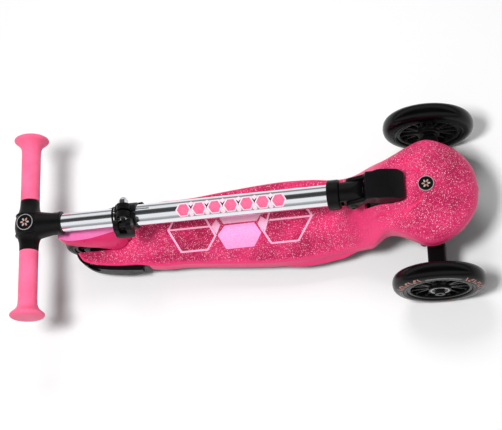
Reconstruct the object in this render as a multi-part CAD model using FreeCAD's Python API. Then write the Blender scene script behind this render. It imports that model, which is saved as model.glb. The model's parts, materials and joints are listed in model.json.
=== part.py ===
import FreeCAD, Part
import math
import os

# Three-wheeled folding kick scooter, drawn folded: the column lies along the deck.
# Every shape is drawn from the middle of the front axle (x = 0) and is moved by
# ORIGIN_SHIFT when it is written, so that x = 0 becomes the middle of the length.
# +X points forward, +Y to the rider's left, +Z up. Units are millimetres.

# wheels
FRONT_R = 60.0
REAR_R = 40.0
TRACK_HALF = 107.5
TYRE_HALF = 12.0
REAR_AXLE_X = -468.0
AXLE_R = 4.0
BEARING_R = 11.0

# column, folded flat above the deck
COLUMN_Z = 125.0
FOLD_X = -96.0
BAR_X = -531.0
OUTER_TUBE_R = 14.0
OUTER_TUBE_BORE = 12.8
INNER_TUBE_R = 12.3
CLAMP_X = -394.5
CLAMP_BOLT_Z = 145.0
LEVER_Y = -20.0
LEVER_FOOT_Z = 124.0
LEVER_WIDTH = 25.0
GRIP_END = 127.0
GRIP_R = 12.8
FLANGE_R = 23.4
GRIP_START = 35.3

# lean steering
LEAN_Z = 74.0
KINGPIN_Y = 50.0
STEER_ARM = 16.0
LUG_DROP = 20.0
POCKET_R = 56.8
BLOCK_UNDERSIDE_R = 58.0

# deck
DECK_TOP = 50.0
DECK_SKIN = 4.0
RIM_WALL = 3.0
SEAM_X = -84.0
CROWN_START_X = -150.0
SLOT_HALF = 17.5
SLOT_FRONT_X = -398.0

# rear brake
BRAKE_HINGE = (-410.0, 38.0)

# fits
RUNNING = 0.05
SNUG = 0.02
GAP = 0.3


V = FreeCAD.Vector
X = V(1, 0, 0)
Y = V(0, 1, 0)
Z = V(0, 0, 1)
SIDES = {"left": 1, "right": -1}


# ---------------------------------------------------------------- helpers

def box(x, y, z):
    """Box between two limits on each axis."""
    return Part.makeBox(x[1] - x[0], y[1] - y[0], z[1] - z[0], V(x[0], y[0], z[0]))


def rod(start, along, radius, length):
    """Solid cylinder from a start point."""
    return Part.makeCylinder(radius, length, V(*start), along)


def ring(start, along, outer, inner, length):
    """Hollow cylinder from a start point."""
    return rod(start, along, outer, length).cut(rod(start, along, inner, length))


def fused(shapes):
    """Union of several overlapping shapes."""
    return shapes[0].multiFuse(shapes[1:]).removeSplitter()


def without(shape, cutters):
    """Shape with every cutter removed."""
    for cutter in cutters:
        shape = shape.cut(cutter)
    return shape


def group(shapes):
    """Separate solids that share one node."""
    return Part.makeCompound(shapes)


def flipped(shape, side):
    """Shape as drawn on the left, or mirrored to the right."""
    return shape if side > 0 else shape.mirror(V(0, 0, 0), Y)


def hexagon(start, along, across, length):
    """Hexagonal prism, as a nut or a bolt head."""
    first = along.cross(Z) if abs(along.z) < 0.5 else V(1, 0, 0)
    second = along.cross(first)
    radius = across / math.sqrt(3)
    corners = []
    for step in range(7):
        angle = math.pi / 3 * step
        corners.append(V(*start) + first * (radius * math.cos(angle)) + second * (radius * math.sin(angle)))
    return Part.Face(Part.makePolygon(corners)).extrude(along * length)


def spline_edge(points, closed=False):
    """Smooth edge through points."""
    curve = Part.BSplineCurve()
    curve.interpolate([V(*p) for p in points], PeriodicFlag=closed)
    return curve.toShape()


def side_prism(points, half_width):
    """Straight-sided (x, z) outline extruded across the scooter."""
    loop = [V(x, -half_width, z) for x, z in points]
    return Part.Face(Part.makePolygon(loop + loop[:1])).extrude(Y * (2 * half_width))


def cross_prism(points, x):
    """Straight-sided (y, z) outline extruded along the scooter."""
    loop = [V(x[0], y, z) for y, z in points]
    return Part.Face(Part.makePolygon(loop + loop[:1])).extrude(X * (x[1] - x[0]))


def turned_y(profile, x, z, smooth=()):
    """Solid turned about a line along Y from (y, radius) points, with one smooth run."""
    start, stop = smooth if smooth else (0, 0)
    points = [V(x + radius, y, z) for y, radius in profile]
    edges = []
    for index in range(len(points)):
        following = (index + 1) % len(points)
        if smooth and start <= index < stop:
            if index == start:
                edges.append(spline_edge([tuple(p) for p in points[start:stop + 1]]))
            continue
        edges.append(Part.makeLine(points[index], points[following]))
    face = Part.Face(Part.Wire(edges))
    return face.revolve(V(x, 0, z), Y, 360)


def spring(start, along, radius, wire_radius, length, turns):
    """Pleated sleeve of a coil spring's outer and inner size, one pleat for each turn."""
    pitch = length / turns
    outside = []
    for number in range(turns):
        outside.append(V(radius + 0.3, 0, pitch * number))
        outside.append(V(radius + wire_radius, 0, pitch * (number + 0.5)))
    outside.append(V(radius + 0.3, 0, length))
    inside = [V(2 * radius - point.x, 0, point.z) for point in reversed(outside)]
    loop = outside + inside
    sleeve = Part.Face(Part.makePolygon(loop + loop[:1])).revolve(V(0, 0, 0), Z, 360)
    sleeve.Placement = FreeCAD.Placement(V(*start), FreeCAD.Rotation(Z, along))
    return sleeve


# ---------------------------------------------------------------- body outline and top surface

# (x, half width) from the tail to the nose
OUTLINE = (
    (-491, 13), (-487, 24), (-479, 32), (-467, 37.5), (-453, 41), (-423, 45),
    (-386, 47.5), (-350, 46.5), (-324, 47.5), (-288, 51), (-241, 55), (-200, 57),
    (-162, 55.5), (-139, 52.5), (-112, 50.5), (-94, 52), (-80, 53.5), (-68, 50.5),
    (-57, 48.5), (-44, 52.5), (-29, 60), (-14, 68), (-3, 70.5), (8, 69), (20, 64),
    (35, 54.5), (48, 40), (57, 23),
)
TAIL_X = -492.0
NOSE_X = 61.0

# the middle of the length, from the front of the nose to the back of the grips
ORIGIN_SHIFT = (FLANGE_R - BAR_X - NOSE_X) / 2

# (x, height on the centre line, height at the edge, half width of the surface)
CROWN = (
    (-150, 50, 50, 55), (-140, 50.3, 50, 54), (-128, 53.5, 50.5, 54), (-114, 64, 53, 54),
    (-100, 82, 58, 54), (-88, 99, 66, 55), (-78, 113, 76, 55), (-68, 125, 89, 54),
    (-56, 131, 104, 53), (-40, 133, 110, 59), (-22, 133.5, 110, 67), (0, 133, 109, 71.5),
    (18, 130, 107, 66), (34, 124, 105, 58), (48, 116, 102, 48), (58, 107, 99, 38), (68, 96, 93, 34),
)
CROWN_POWER = 2.2

# lower edge of the pink skin, seen from the side
LOWER_EDGE = (
    (-500, 46), (-398, 46), (-386, 29), (-145, 29), (-128, 32), (-105, 42), (-84, 56),
    (-64, 80), (-44, 92), (-30, 94), (70, 94), (70, 160), (-500, 160),
)


def outline(inset):
    """Closed plan outline of the scooter's body, moved inwards by inset."""
    left = [V(x, y, 0) for x, y in OUTLINE]
    right = [V(x, -y, 0) for x, y in reversed(OUTLINE)]
    loop = [V(TAIL_X, 0, 0)] + left + [V(NOSE_X, 0, 0)] + right
    moved = []
    for index, point in enumerate(loop):
        along = loop[(index + 1) % len(loop)] - loop[index - 1]
        inward = V(along.y, -along.x, 0).normalize()
        moved.append(tuple(point + inward * inset))
    return Part.Wire([spline_edge(moved, closed=True)])


def plan_prism(inset, x, z):
    """Part of the body's plan outline between two x and two z limits."""
    solid = Part.Face(outline(inset)).extrude(Z * (z[1] - z[0]))
    solid.translate(Z * z[0])
    return solid.common(box(x, (-90, 90), z))


def crown_solid(drop):
    """Everything under the curved top surface of the riser and nose, lowered by drop."""
    rows = []
    for x, centre, edge, half_width in CROWN:
        row = []
        for step in range(-7, 8):
            share = step / 6
            height = edge + (centre - edge) * (1 - abs(share) ** CROWN_POWER)
            row.append(V(x, share * half_width, height - drop))
        rows.append(row)
    surface = Part.BSplineSurface()
    surface.interpolate(rows)
    return Part.Face(surface).extrude(Z * -150)


def skin_envelope(inset, drop):
    """Solid inside the plan outline and under the top surface."""
    plan = plan_prism(inset, (-500, 70), (0, 160))
    flat = box((-500, CROWN_START_X), (-90, 90), (0, DECK_TOP - drop))
    return plan.common(flat).fuse(plan.common(crown_solid(drop))).removeSplitter()


def lean_sector(radius, x, half_angle):
    """Space outside a radius about the lean axis, within an angle either side of vertical."""
    reach = 90.0
    top = LEAN_Z + reach
    spread = reach * math.tan(math.radians(half_angle))
    wedge = cross_prism([(0, LEAN_Z), (spread, top), (-spread, top)], x)
    return wedge.cut(rod((x[0] - 1, 0, LEAN_Z), X, radius, x[1] - x[0] + 2))


# ---------------------------------------------------------------- deck body

HOOD_SCREWS = ((24, 40), (24, -40), (-8, 36), (-8, -36))
HOOD_SCREW_R = 1.5
BADGE_X = -2.0
BADGE_R = 10.0
BADGE_SEAT_Z = 132.3

RIB_PITCH = 40.0
FIRST_RIB_X = -386.0
RIB_COUNT = 7
RIB_Y = 13.0
FRAME_BOTTOM = 24.0
FORK_BOTTOM = 22.0
FRAME_TOP = DECK_TOP - DECK_SKIN
FORK_FRONT_X = -398.0
FRAME_FRONT_X = -138.0
TONGUE_HALF = 28.0
TONGUE_REAR_X = -192.0
FLOOR_Z = (36.0, 41.0)
PLATE_Z = (86.0, 91.0)


def wheel_slot():
    """Slot for the rear wheel and the brake's hinge."""
    return box((-520, SLOT_FRONT_X), (-SLOT_HALF, SLOT_HALF), (-10, 80))


def deck_screw_places():
    """Rib crossings that hold the deck's screws."""
    places = []
    for number in (1, 3, 5):
        for side in (1, -1):
            places.append((FIRST_RIB_X + RIB_PITCH * number, side * RIB_Y))
    return places


def pink_skin():
    """Deck skin, riser and nose hood before they are parted at the seam."""
    outer = skin_envelope(0, 0).common(side_prism(LOWER_EDGE, 90))
    hollow = skin_envelope(RIM_WALL, DECK_SKIN)
    hollow = hollow.cut(lean_sector(POCKET_R - DECK_SKIN, (-92, -18), 37))
    skin = outer.cut(hollow)
    neck_slot = cross_prism([(-9, LEAN_Z), (9, LEAN_Z), (21, 140), (-21, 140)], (-84.5, -43))
    return without(skin, [wheel_slot(), lean_sector(POCKET_R, (-87, -24), 34), neck_slot])


def deck_shell():
    shell = pink_skin().common(box((-510, SEAM_X - 0.1), (-90, 90), (0, 170)))
    holes = [rod((x, y, 40), Z, 1.5 + SNUG, 9) for x, y in deck_screw_places()]
    for side in (1, -1):
        holes.append(rod((REAR_AXLE_X, side * 26, REAR_R), Y * side, 8, 30))
    return without(shell, holes)


def nose_hood():
    hood = pink_skin().common(box((SEAM_X + 0.1, 80), (-90, 90), (0, 170)))
    envelope = skin_envelope(1, 1)
    bosses = [rod((x, y, PLATE_Z[1]), Z, 5, 60).common(envelope) for x, y in HOOD_SCREWS]
    hood = fused([hood] + bosses)
    holes = [rod((x, y, PLATE_Z[1] - 5), Z, HOOD_SCREW_R + SNUG, 19) for x, y in HOOD_SCREWS]
    recess = rod((BADGE_X, 0, BADGE_SEAT_Z), Z, BADGE_R + 0.1, 10)
    return without(hood, holes + [recess])


def nose_badge():
    disc = rod((BADGE_X, 0, BADGE_SEAT_Z), Z, BADGE_R, 2.2)
    return disc.cut(ring((BADGE_X, 0, BADGE_SEAT_Z + 1.8), Z, 8.6, 8.0, 2))


def under_frame():
    """Ribbed tray under the deck, ending in a fork round the rear wheel."""
    tray = plan_prism(RIM_WALL + 0.2, (FORK_FRONT_X - 1, FRAME_FRONT_X), (FRAME_BOTTOM, FRAME_TOP))
    cells = []
    for number in range(RIB_COUNT):
        start = FIRST_RIB_X + 2 + RIB_PITCH * number
        for y in ((-39, -RIB_Y - 1.5), (-RIB_Y + 1.5, RIB_Y - 1.5), (RIB_Y + 1.5, 39)):
            cells.append(box((start, start + RIB_PITCH - 3), y, (0, FRAME_TOP - 3.5)))
    tray = without(tray, cells)
    fork = plan_prism(-2, (-510, FORK_FRONT_X), (FORK_BOTTOM, FRAME_TOP))
    bosses = [rod((x, y, FRAME_BOTTOM), Z, 6, FRAME_TOP - FRAME_BOTTOM) for x, y in deck_screw_places()]
    tail_bevel = side_prism([(-500, 10), (-500, 42), (-493, 42), (-472, FORK_BOTTOM), (-472, 10)], 90)
    front_bevel = side_prism([(-424, FORK_BOTTOM), (-390, 40), (-390, 10), (-424, 10)], 90)
    fork = without(fork, [tail_bevel, front_bevel])
    frame = fused([tray, fork] + bosses)
    cutters = [wheel_slot()]
    tongue_slot_z = (FLOOR_Z[0] - SNUG, FLOOR_Z[1] + SNUG)
    cutters.append(box((TONGUE_REAR_X - GAP, -80), (-TONGUE_HALF - GAP, TONGUE_HALF + GAP), tongue_slot_z))
    cutters.append(rod((REAR_AXLE_X, -60, REAR_R), Y, AXLE_R + SNUG, 120))
    for side in (1, -1):
        cutters.append(rod((REAR_AXLE_X, side * 27, REAR_R), Y * side, 9, 30))
    cutters.append(rod((BRAKE_HINGE[0], -30, BRAKE_HINGE[1]), Y, 2.5 + SNUG, 60))
    for x, y in deck_screw_places():
        cutters.append(rod((x, y, 0), Z, 1.5 + SNUG, 60))
        cutters.append(rod((x, y, 0), Z, 3.2, 28))
    return without(frame, cutters)


# (x, half width) of the housing's floor and of its top plate
FLOOR_PLAN = ((SEAM_X, 27), (-36, 27), (-22, 34), (22, 34), (39, 20))
PLATE_PLAN = ((-36, 27), (-12, 58), (12, 58), (34, 42), (50, 24))
HOUSING_WALL = 3.0
KINGPIN_BOSS_R = 9.0


def mirrored_prism(plan, z):
    """Straight-sided (x, half width) plan between two z limits."""
    loop = [V(x, y, z[0]) for x, y in plan] + [V(x, -y, z[0]) for x, y in reversed(plan)]
    return Part.Face(Part.makePolygon(loop + loop[:1])).extrude(Z * (z[1] - z[0]))


def front_housing():
    """Floor, walls and top plate that carry the kingpins and the lean pivot."""
    floor = mirrored_prism(FLOOR_PLAN, FLOOR_Z)
    plate = mirrored_prism(PLATE_PLAN, PLATE_Z)
    inside = [(x + (HOUSING_WALL if x < 0 else -HOUSING_WALL), y - HOUSING_WALL) for x, y in FLOOR_PLAN]
    wall_z = (FLOOR_Z[0], PLATE_Z[1])
    wall = mirrored_prism(FLOOR_PLAN, wall_z).cut(mirrored_prism(inside, wall_z))
    wall = wall.cut(box((-90, -40), (-80, 80), (58, 100)))
    tongue = box((TONGUE_REAR_X, SEAM_X + 1), (-TONGUE_HALF, TONGUE_HALF), FLOOR_Z)
    bridge = box((-KINGPIN_BOSS_R, KINGPIN_BOSS_R), (-KINGPIN_Y, KINGPIN_Y), FLOOR_Z)
    bearing_walls = []
    for x in ((-90, -84), (-38, -32)):
        foot = box(x, (-18, 18), (FLOOR_Z[0], LEAN_Z))
        bearing_walls.append(foot.fuse(rod((x[0], 0, LEAN_Z), X, 13, x[1] - x[0])))
    bosses = []
    for y in (KINGPIN_Y, -KINGPIN_Y):
        for z in (FLOOR_Z, PLATE_Z):
            bosses.append(rod((0, y, z[0]), Z, KINGPIN_BOSS_R, z[1] - z[0]))
    housing = fused([floor, plate, wall, tongue, bridge] + bearing_walls + bosses)
    cutters = [box((-40, -30), (-11, 11), (FLOOR_Z[1], 63))]
    cutters.append(rod((-100, 0, LEAN_Z), X, 5 + SNUG, 80))
    for side in (1, -1):
        window = box((-30, 22), (28, 95), (FLOOR_Z[1], PLATE_Z[0]))
        cutters.append(flipped(window, side))
        cutters.append(rod((0, side * KINGPIN_Y, 0), Z, AXLE_R + SNUG, 120))
    for x, y in HOOD_SCREWS:
        cutters.append(rod((x, y, PLATE_Z[0] - 1), Z, HOOD_SCREW_R + SNUG, 8))
    for x, y in deck_screw_places():
        cutters.append(rod((x, y, FLOOR_Z[0] - 1), Z, 1.5 + SNUG, 8))
    return without(housing, cutters)


def hood_screws():
    screws = []
    for x, y in HOOD_SCREWS:
        shank = rod((x, y, PLATE_Z[0] - 1), Z, HOOD_SCREW_R, 18)
        head = rod((x, y, PLATE_Z[0] - 3), Z, 3.5, 3)
        recess = hexagon((x, y, PLATE_Z[0] - 4), Z, 3, 2.2)
        screws.append(shank.fuse(head).cut(recess))
    return group(screws)


def deck_screws():
    screws = []
    for x, y in deck_screw_places():
        shank = rod((x, y, 27), Z, 1.5, 21.5)
        head = rod((x, y, 25), Z, 3, 3)
        screws.append(shank.fuse(head).cut(hexagon((x, y, 24), Z, 3, 2.2)))
    return group(screws)


def kingpins():
    pins = []
    for side in (1, -1):
        pin = rod((0, side * KINGPIN_Y, 31), Z, AXLE_R, 52)
        head = rod((0, side * KINGPIN_Y, PLATE_Z[1]), Z, 6.5, 3.5)
        pins.append(pin.fuse(head))
    return group(pins)


def kingpin_nuts():
    nuts = []
    for side in (1, -1):
        nut = hexagon((0, side * KINGPIN_Y, 31.5), Z, 13, 4.5)
        nuts.append(nut.cut(rod((0, side * KINGPIN_Y, 30), Z, AXLE_R + SNUG, 10)))
    return group(nuts)


def lean_bolt():
    shank = rod((-93, 0, LEAN_Z), X, 5, 61)
    head = hexagon((-32, 0, LEAN_Z), X, 15, 5)
    return shank.fuse(head)


def lean_nut():
    nut = hexagon((-94, 0, LEAN_Z), X, 14, 4)
    return nut.cut(rod((-100, 0, LEAN_Z), X, 5 + SNUG, 20))


def centring_springs():
    """Pair of springs between the housing floor and the steering base's wings."""
    springs = []
    for side in (1, -1):
        springs.append(spring((-61, side * 17, FLOOR_Z[1]), Z, 5.5, 1.1, LEAN_Z - 9 - FLOOR_Z[1], 7))
    return group(springs)


def rear_axle():
    shank = rod((REAR_AXLE_X, -28, REAR_R), Y, AXLE_R, 62)
    head = rod((REAR_AXLE_X, -33, REAR_R), Y, 6.5, 6)
    socket = hexagon((REAR_AXLE_X, -34, REAR_R), Y, 5, 4)
    return shank.fuse(head).cut(socket)


def rear_axle_nut():
    nut = hexagon((REAR_AXLE_X, 27, REAR_R), Y, 13, 6)
    return nut.cut(rod((REAR_AXLE_X, 20, REAR_R), Y, AXLE_R + SNUG, 20))


def rear_spacers():
    spacers = []
    for side in (1, -1):
        start = (REAR_AXLE_X, side * (TYRE_HALF + GAP), REAR_R)
        spacers.append(ring(start, Y * side, 6.5, AXLE_R + SNUG, SLOT_HALF - TYRE_HALF - GAP))
    return group(spacers)


def brake_pin():
    return rod((BRAKE_HINGE[0], -25, BRAKE_HINGE[1]), Y, 2.5, 50)


def brake_spring():
    return spring((BRAKE_HINGE[0], 8.5, BRAKE_HINGE[1]), Y, 4.4, 0.8, 8, 5)


# ---------------------------------------------------------------- steering base

BLOCK_REAR_X = FOLD_X + 16.4
KNUCKLE_CLEAR = 16.4
EAR_INNER = 13.3
EAR_OUTER = 18.4
DOME_RISE = 2.8
PIN_R = 4.0


def steering_block():
    """Block that leans on the lean pivot and carries the column between its ears."""
    top_edge = Part.Arc(V(-64, -24, 150.5), V(-42, -24, 147.6), V(-29, -24, 139.5)).toShape()
    rest = Part.makePolygon([V(-29, -24, 139.5), V(-27, -24, 126), V(BLOCK_REAR_X, -24, 126),
                             V(BLOCK_REAR_X, -24, 139.5), V(-77.3, -24, 142.8),
                             V(-76.8, -24, 149.6), V(-64, -24, 150.5)])
    profile = Part.Face(Part.Wire([top_edge] + rest.Edges))
    body = profile.extrude(Y * 48)
    plan = [(BLOCK_REAR_X, 15.6), (-72, 16.6), (-61, 19.6), (-36, 19.6), (-29.5, 17), (-27, 11)]
    loop = [V(x, y, 100) for x, y in plan] + [V(x, -y, 100) for x, y in reversed(plan)]
    body = body.common(Part.Face(Part.makePolygon(loop + loop[:1])).extrude(Z * 60))
    body = body.cut(rod((-90, 0, LEAN_Z), X, BLOCK_UNDERSIDE_R, 70))
    ears = []
    for side in (1, -1):
        cheek = side_prism([(FOLD_X, 134), (-84, 139.5), (-80, 141), (-76, 149), (-62, 149), (-62, 134),
                            (-78, 131.5), (-92, 117), (FOLD_X, 116)], 100)
        cheek = cheek.common(box((-120, -50), (EAR_INNER, EAR_OUTER), (100, 160)))
        disc = rod((FOLD_X, EAR_INNER, COLUMN_Z), Y, 9, EAR_OUTER - EAR_INNER)
        ears.append(flipped(cheek.fuse(disc), side))
    neck = box((BLOCK_REAR_X + 0.6, -46), (-7, 7), (LEAN_Z, 138))
    hub = rod((-83.5, 0, LEAN_Z), X, 13, 45)
    lug = box((-47, -39.5), (-8, 8), (LEAN_Z - LUG_DROP - 7, LEAN_Z))
    wings = box((-70, -52), (-24, 24), (LEAN_Z - 9, LEAN_Z - 2))
    base = fused([body, neck, hub, lug, wings] + ears)
    cutters = [rod((-90, 0, LEAN_Z), X, 5 + RUNNING, 60)]
    cutters.append(rod((FOLD_X, -40, COLUMN_Z), Y, PIN_R + SNUG, 80))
    cutters.append(rod((-50, 0, LEAN_Z - LUG_DROP), X, 3 + SNUG, 20))
    return without(base, cutters)


def steering_pin():
    return rod((-46, 0, LEAN_Z - LUG_DROP), X, 3, 37)


def fold_dome(side):
    """Low domed button standing on the outside of an ear."""
    ball = Part.makeSphere(9, V(FOLD_X, EAR_OUTER + DOME_RISE - 9, COLUMN_Z))
    return flipped(ball.common(box((-120, -70), (EAR_OUTER, EAR_OUTER + 9), (110, 140))), side)


def fold_pin():
    shank = rod((FOLD_X, -EAR_OUTER, COLUMN_Z), Y, PIN_R, 2 * EAR_OUTER + 1.6)
    socket = hexagon((FOLD_X, -EAR_OUTER - 4, COLUMN_Z), Y, 4, 3)
    return shank.fuse(fold_dome(-1)).cut(socket)


def fold_pin_nut():
    return fold_dome(1).cut(rod((FOLD_X, 10, COLUMN_Z), Y, PIN_R + SNUG, EAR_OUTER + 1.7 - 10))


# ---------------------------------------------------------------- front steering

ROD_Z = LEAN_Z - LUG_DROP


def tie_rod():
    """Bar that carries the lean sideways to both steering arms."""
    bar = box((-STEER_ARM - 5, -STEER_ARM + 5), (-KINGPIN_Y, KINGPIN_Y), (ROD_Z - 2.5, ROD_Z + 2.5))
    boss = box((-STEER_ARM - 5, -STEER_ARM + 5), (-9, 9), (ROD_Z - 7.5, ROD_Z + 7.5))
    eyes = [rod((-STEER_ARM, side * KINGPIN_Y, ROD_Z - 2.5), Z, 6, 5) for side in (1, -1)]
    whole = fused([bar, boss] + eyes)
    cutters = [box((-40, 0), (-3.1, 3.1), (ROD_Z - 4.1, ROD_Z + 4.1))]
    for side in (1, -1):
        y = side * KINGPIN_Y
        cutters.append(box((-STEER_ARM - 3.4, -STEER_ARM + 3.4), (y - 2.65, y + 2.65), (40, 70)))
    return without(whole, cutters)


def knuckle(side):
    """Stub arm that swings on a kingpin and carries a front wheel."""
    sleeve = rod((0, KINGPIN_Y, FLOOR_Z[1] + 0.4), Z, 8, PLATE_Z[0] - FLOOR_Z[1] - 0.8)
    root = box((-9, 9), (KINGPIN_Y, 64), (52, 68))
    arm = box((-12, 12), (60, 89), (50, 70))
    arm = arm.makeFillet(5, [edge for edge in arm.Edges if abs(edge.tangentAt(edge.FirstParameter).y) > 0.9])
    nose = Part.makeCone(10, 7, TRACK_HALF - TYRE_HALF - GAP - 89, V(0, 89, FRONT_R), Y)
    lever = box((-STEER_ARM, 0), (KINGPIN_Y - 4.5, KINGPIN_Y + 4.5), (ROD_Z + 4, ROD_Z + 10))
    eye = rod((-STEER_ARM, KINGPIN_Y, ROD_Z + 4), Z, 5.5, 6)
    pin = rod((-STEER_ARM, KINGPIN_Y, ROD_Z - 4), Z, 2.5, 9)
    whole = fused([sleeve, root, arm, nose, lever, eye, pin])
    cutters = [rod((0, KINGPIN_Y, 30), Z, AXLE_R + RUNNING, 60)]
    cutters.append(rod((0, 75, FRONT_R), Y, AXLE_R + SNUG, 30))
    return flipped(without(whole, cutters), side)


def axle_bolt(side):
    outer_face = TRACK_HALF + TYRE_HALF + GAP
    shank = rod((0, 75.5, FRONT_R), Y, AXLE_R, outer_face - 74)
    head = rod((0, outer_face, FRONT_R), Y, 6.5, 4.5)
    socket = hexagon((0, outer_face + 2, FRONT_R), Y, 5, 4)
    return flipped(shank.fuse(head).cut(socket), side)


# ---------------------------------------------------------------- wheels

def tyre(x, y, radius, inner):
    """Round-crowned tyre about a transverse axle."""
    depth = radius - inner
    half = TYRE_HALF
    profile = [(-half + 1.6, inner), (-half, inner + 0.30 * depth), (-half * 0.86, inner + 0.66 * depth),
               (-half * 0.5, inner + 0.93 * depth), (0, radius), (half * 0.5, inner + 0.93 * depth),
               (half * 0.86, inner + 0.66 * depth), (half, inner + 0.30 * depth), (half - 1.6, inner)]
    tread = turned_y(profile, x, radius, smooth=(0, 8))
    tread.translate(Y * y)
    return tread


def wheel_core(x, y, radius, rim, spokes):
    """Hub, spokes and rim; the tyre sits on the rim's outside."""
    hub = rod((x, y - TYRE_HALF, radius), Y, 14.5, 2 * TYRE_HALF)
    band = ring((x, y - TYRE_HALF + 1.6, radius), Y, rim, rim - 4.5, 2 * TYRE_HALF - 3.2)
    bars = []
    for number in range(spokes):
        for lean in (-9, 9):
            bar = box((11, rim - 2), (-6.5, 6.5), (-1.6, 1.6))
            bar.rotate(V(0, 0, 0), Y, lean)
            bar.translate(V(0, 0, -lean * 0.25))
            bar.rotate(V(0, 0, 0), Y, 360.0 / spokes * number)
            bar.translate(V(x, y, radius))
            bars.append(bar)
    core = fused([hub, band] + bars)
    bore = rod((x, y - 20, radius), Y, 6, 40)
    seats = [rod((x, y + side * 5, radius), Y * side, BEARING_R, 20) for side in (1, -1)]
    return without(core, [bore] + seats)


def bearings(x, y, radius):
    """Pair of ball bearings with shields."""
    pair = []
    for side in (1, -1):
        race = ring((x, y + side * 5, radius), Y * side, BEARING_R, AXLE_R + RUNNING, 7)
        groove = ring((x, y + side * 11.5, radius), Y * side, 9, 6.4, 2)
        pair.append(race.cut(groove))
    return group(pair)


# ---------------------------------------------------------------- brake

# upper line of the fender from its foot to its tail, then back under the rim
FENDER_TOP = ((-415, 52.5), (-419, 66), (-429, 81), (-445, 92), (-465, 98), (-484, 99), (-501, 96))
FENDER_RIM = ((-503, 91), (-490, 90), (-470, 84), (-450, 72), (-434, 54))
FENDER_HALF = 21.5
FENDER_WALL = 3.5


def fender_side(top_points, rim_points, half_width):
    """Side shape of the fender, smooth on top, extruded across."""
    top = spline_edge([(x, -half_width, z) for x, z in top_points])
    rim = [V(x, -half_width, z) for x, z in rim_points]
    first = V(top_points[0][0], -half_width, top_points[0][1])
    last = V(top_points[-1][0], -half_width, top_points[-1][1])
    lower = Part.makePolygon([last] + rim + [first])
    return Part.Face(Part.Wire([top] + lower.Edges)).extrude(Y * (2 * half_width))


def brake_fender():
    """Foot brake over the rear wheel, hinged at its front."""
    outer = fender_side(FENDER_TOP, FENDER_RIM, FENDER_HALF)
    plan = []
    for x, y in ((-414, 8), (-420, 15), (-432, 20.5), (-450, 21.5), (-480, 21.5), (-494, 17), (-502, 9)):
        plan.append((x, y))
    loop = [V(x, y, 20) for x, y in plan] + [V(x, -y, 20) for x, y in reversed(plan)]
    outer = outer.common(Part.Face(Part.makePolygon(loop + loop[:1])).extrude(Z * 100))
    inner_top = [(x - (3.5 if z < 75 else 1.5), z - FENDER_WALL) for x, z in FENDER_TOP[:-1]]
    inner_top.append((-499, 91.5))
    inner = fender_side(inner_top, ((-499, 60), (-423, 40)), FENDER_HALF - FENDER_WALL)
    shell = outer.cut(inner)
    pad_rib = box((-492, -468), (-6, 6), (88, 97))
    web = side_prism([(-417, 60), (-414, 58), (BRAKE_HINGE[0] + 5, BRAKE_HINGE[1]),
                      (BRAKE_HINGE[0] - 5, BRAKE_HINGE[1]), (-421.5, 62)], 8)
    barrel = rod((BRAKE_HINGE[0], -8, BRAKE_HINGE[1]), Y, 5.5, 16)
    whole = fused([shell, pad_rib, web, barrel])
    return whole.cut(rod((BRAKE_HINGE[0], -30, BRAKE_HINGE[1]), Y, 2.5 + RUNNING, 60))


def brake_pad():
    """Steel wear plate under the fender."""
    plate = box((-494, -466), (-9, 9), (86, 88))
    return plate.cut(rod((-480, 0, 80), Z, 2, 20))


# ---------------------------------------------------------------- column

TUBE_END_X = -410.5
TUBE_FOOT_X = -108.0
COLLAR_X = (-128.0, -112.3)
CROSS_PIN_X = -120.0
COLLAR_TRAVEL = 6.0
SEAT_X = -149.0


def column_sleeve():
    """Foot of the column with a flat-sided knuckle that turns on the fold pin."""
    body = rod((COLLAR_X[1] + 0.3, 0, COLUMN_Z), X, 16, FOLD_X - COLLAR_X[1] - 0.3)
    knuckle_end = rod((FOLD_X, 0, COLUMN_Z), X, 16, 20).common(
        rod((FOLD_X, -20, COLUMN_Z), Y, 15.9, 40))
    flats = box((COLLAR_X[1], -70), (-EAR_INNER + GAP, EAR_INNER - GAP), (100, 150))
    neck = rod((COLLAR_X[0] + 0.5, 0, COLUMN_Z), X, 15.0, COLLAR_X[1] - COLLAR_X[0] + 1)
    sleeve = body.fuse(knuckle_end).common(flats).fuse(neck)
    travel = COLLAR_TRAVEL + 2.2
    cutters = [rod((-140, 0, COLUMN_Z), X, OUTER_TUBE_R + SNUG, 32)]
    cutters.append(box((TUBE_FOOT_X - 6, -70), (-5.1, 5.1), (COLUMN_Z - 7.6, COLUMN_Z + 7.6)))
    cutters.append(rod((FOLD_X, -40, COLUMN_Z), Y, PIN_R + RUNNING, 80))
    cutters.append(box((CROSS_PIN_X - travel, CROSS_PIN_X + 2.2), (-20, 20),
                       (COLUMN_Z - 2.2, COLUMN_Z + 2.2)))
    return without(sleeve, cutters)


def release_collar():
    """Ring that is pulled along the column to free the fold lock."""
    length = COLLAR_X[1] - COLLAR_X[0]
    collar = ring((COLLAR_X[0], 0, COLUMN_Z), X, 19.5, 15.1, length)
    rims = [edge for edge in collar.Edges if edge.Closed and abs(edge.Curve.Radius - 19.5) < 0.01]
    collar = collar.makeFillet(2.2, rims)
    return collar.cut(rod((CROSS_PIN_X, -30, COLUMN_Z), Y, 2 + SNUG, 60))


def cross_pin():
    return rod((CROSS_PIN_X, -19, COLUMN_Z), Y, 2, 38)


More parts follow.
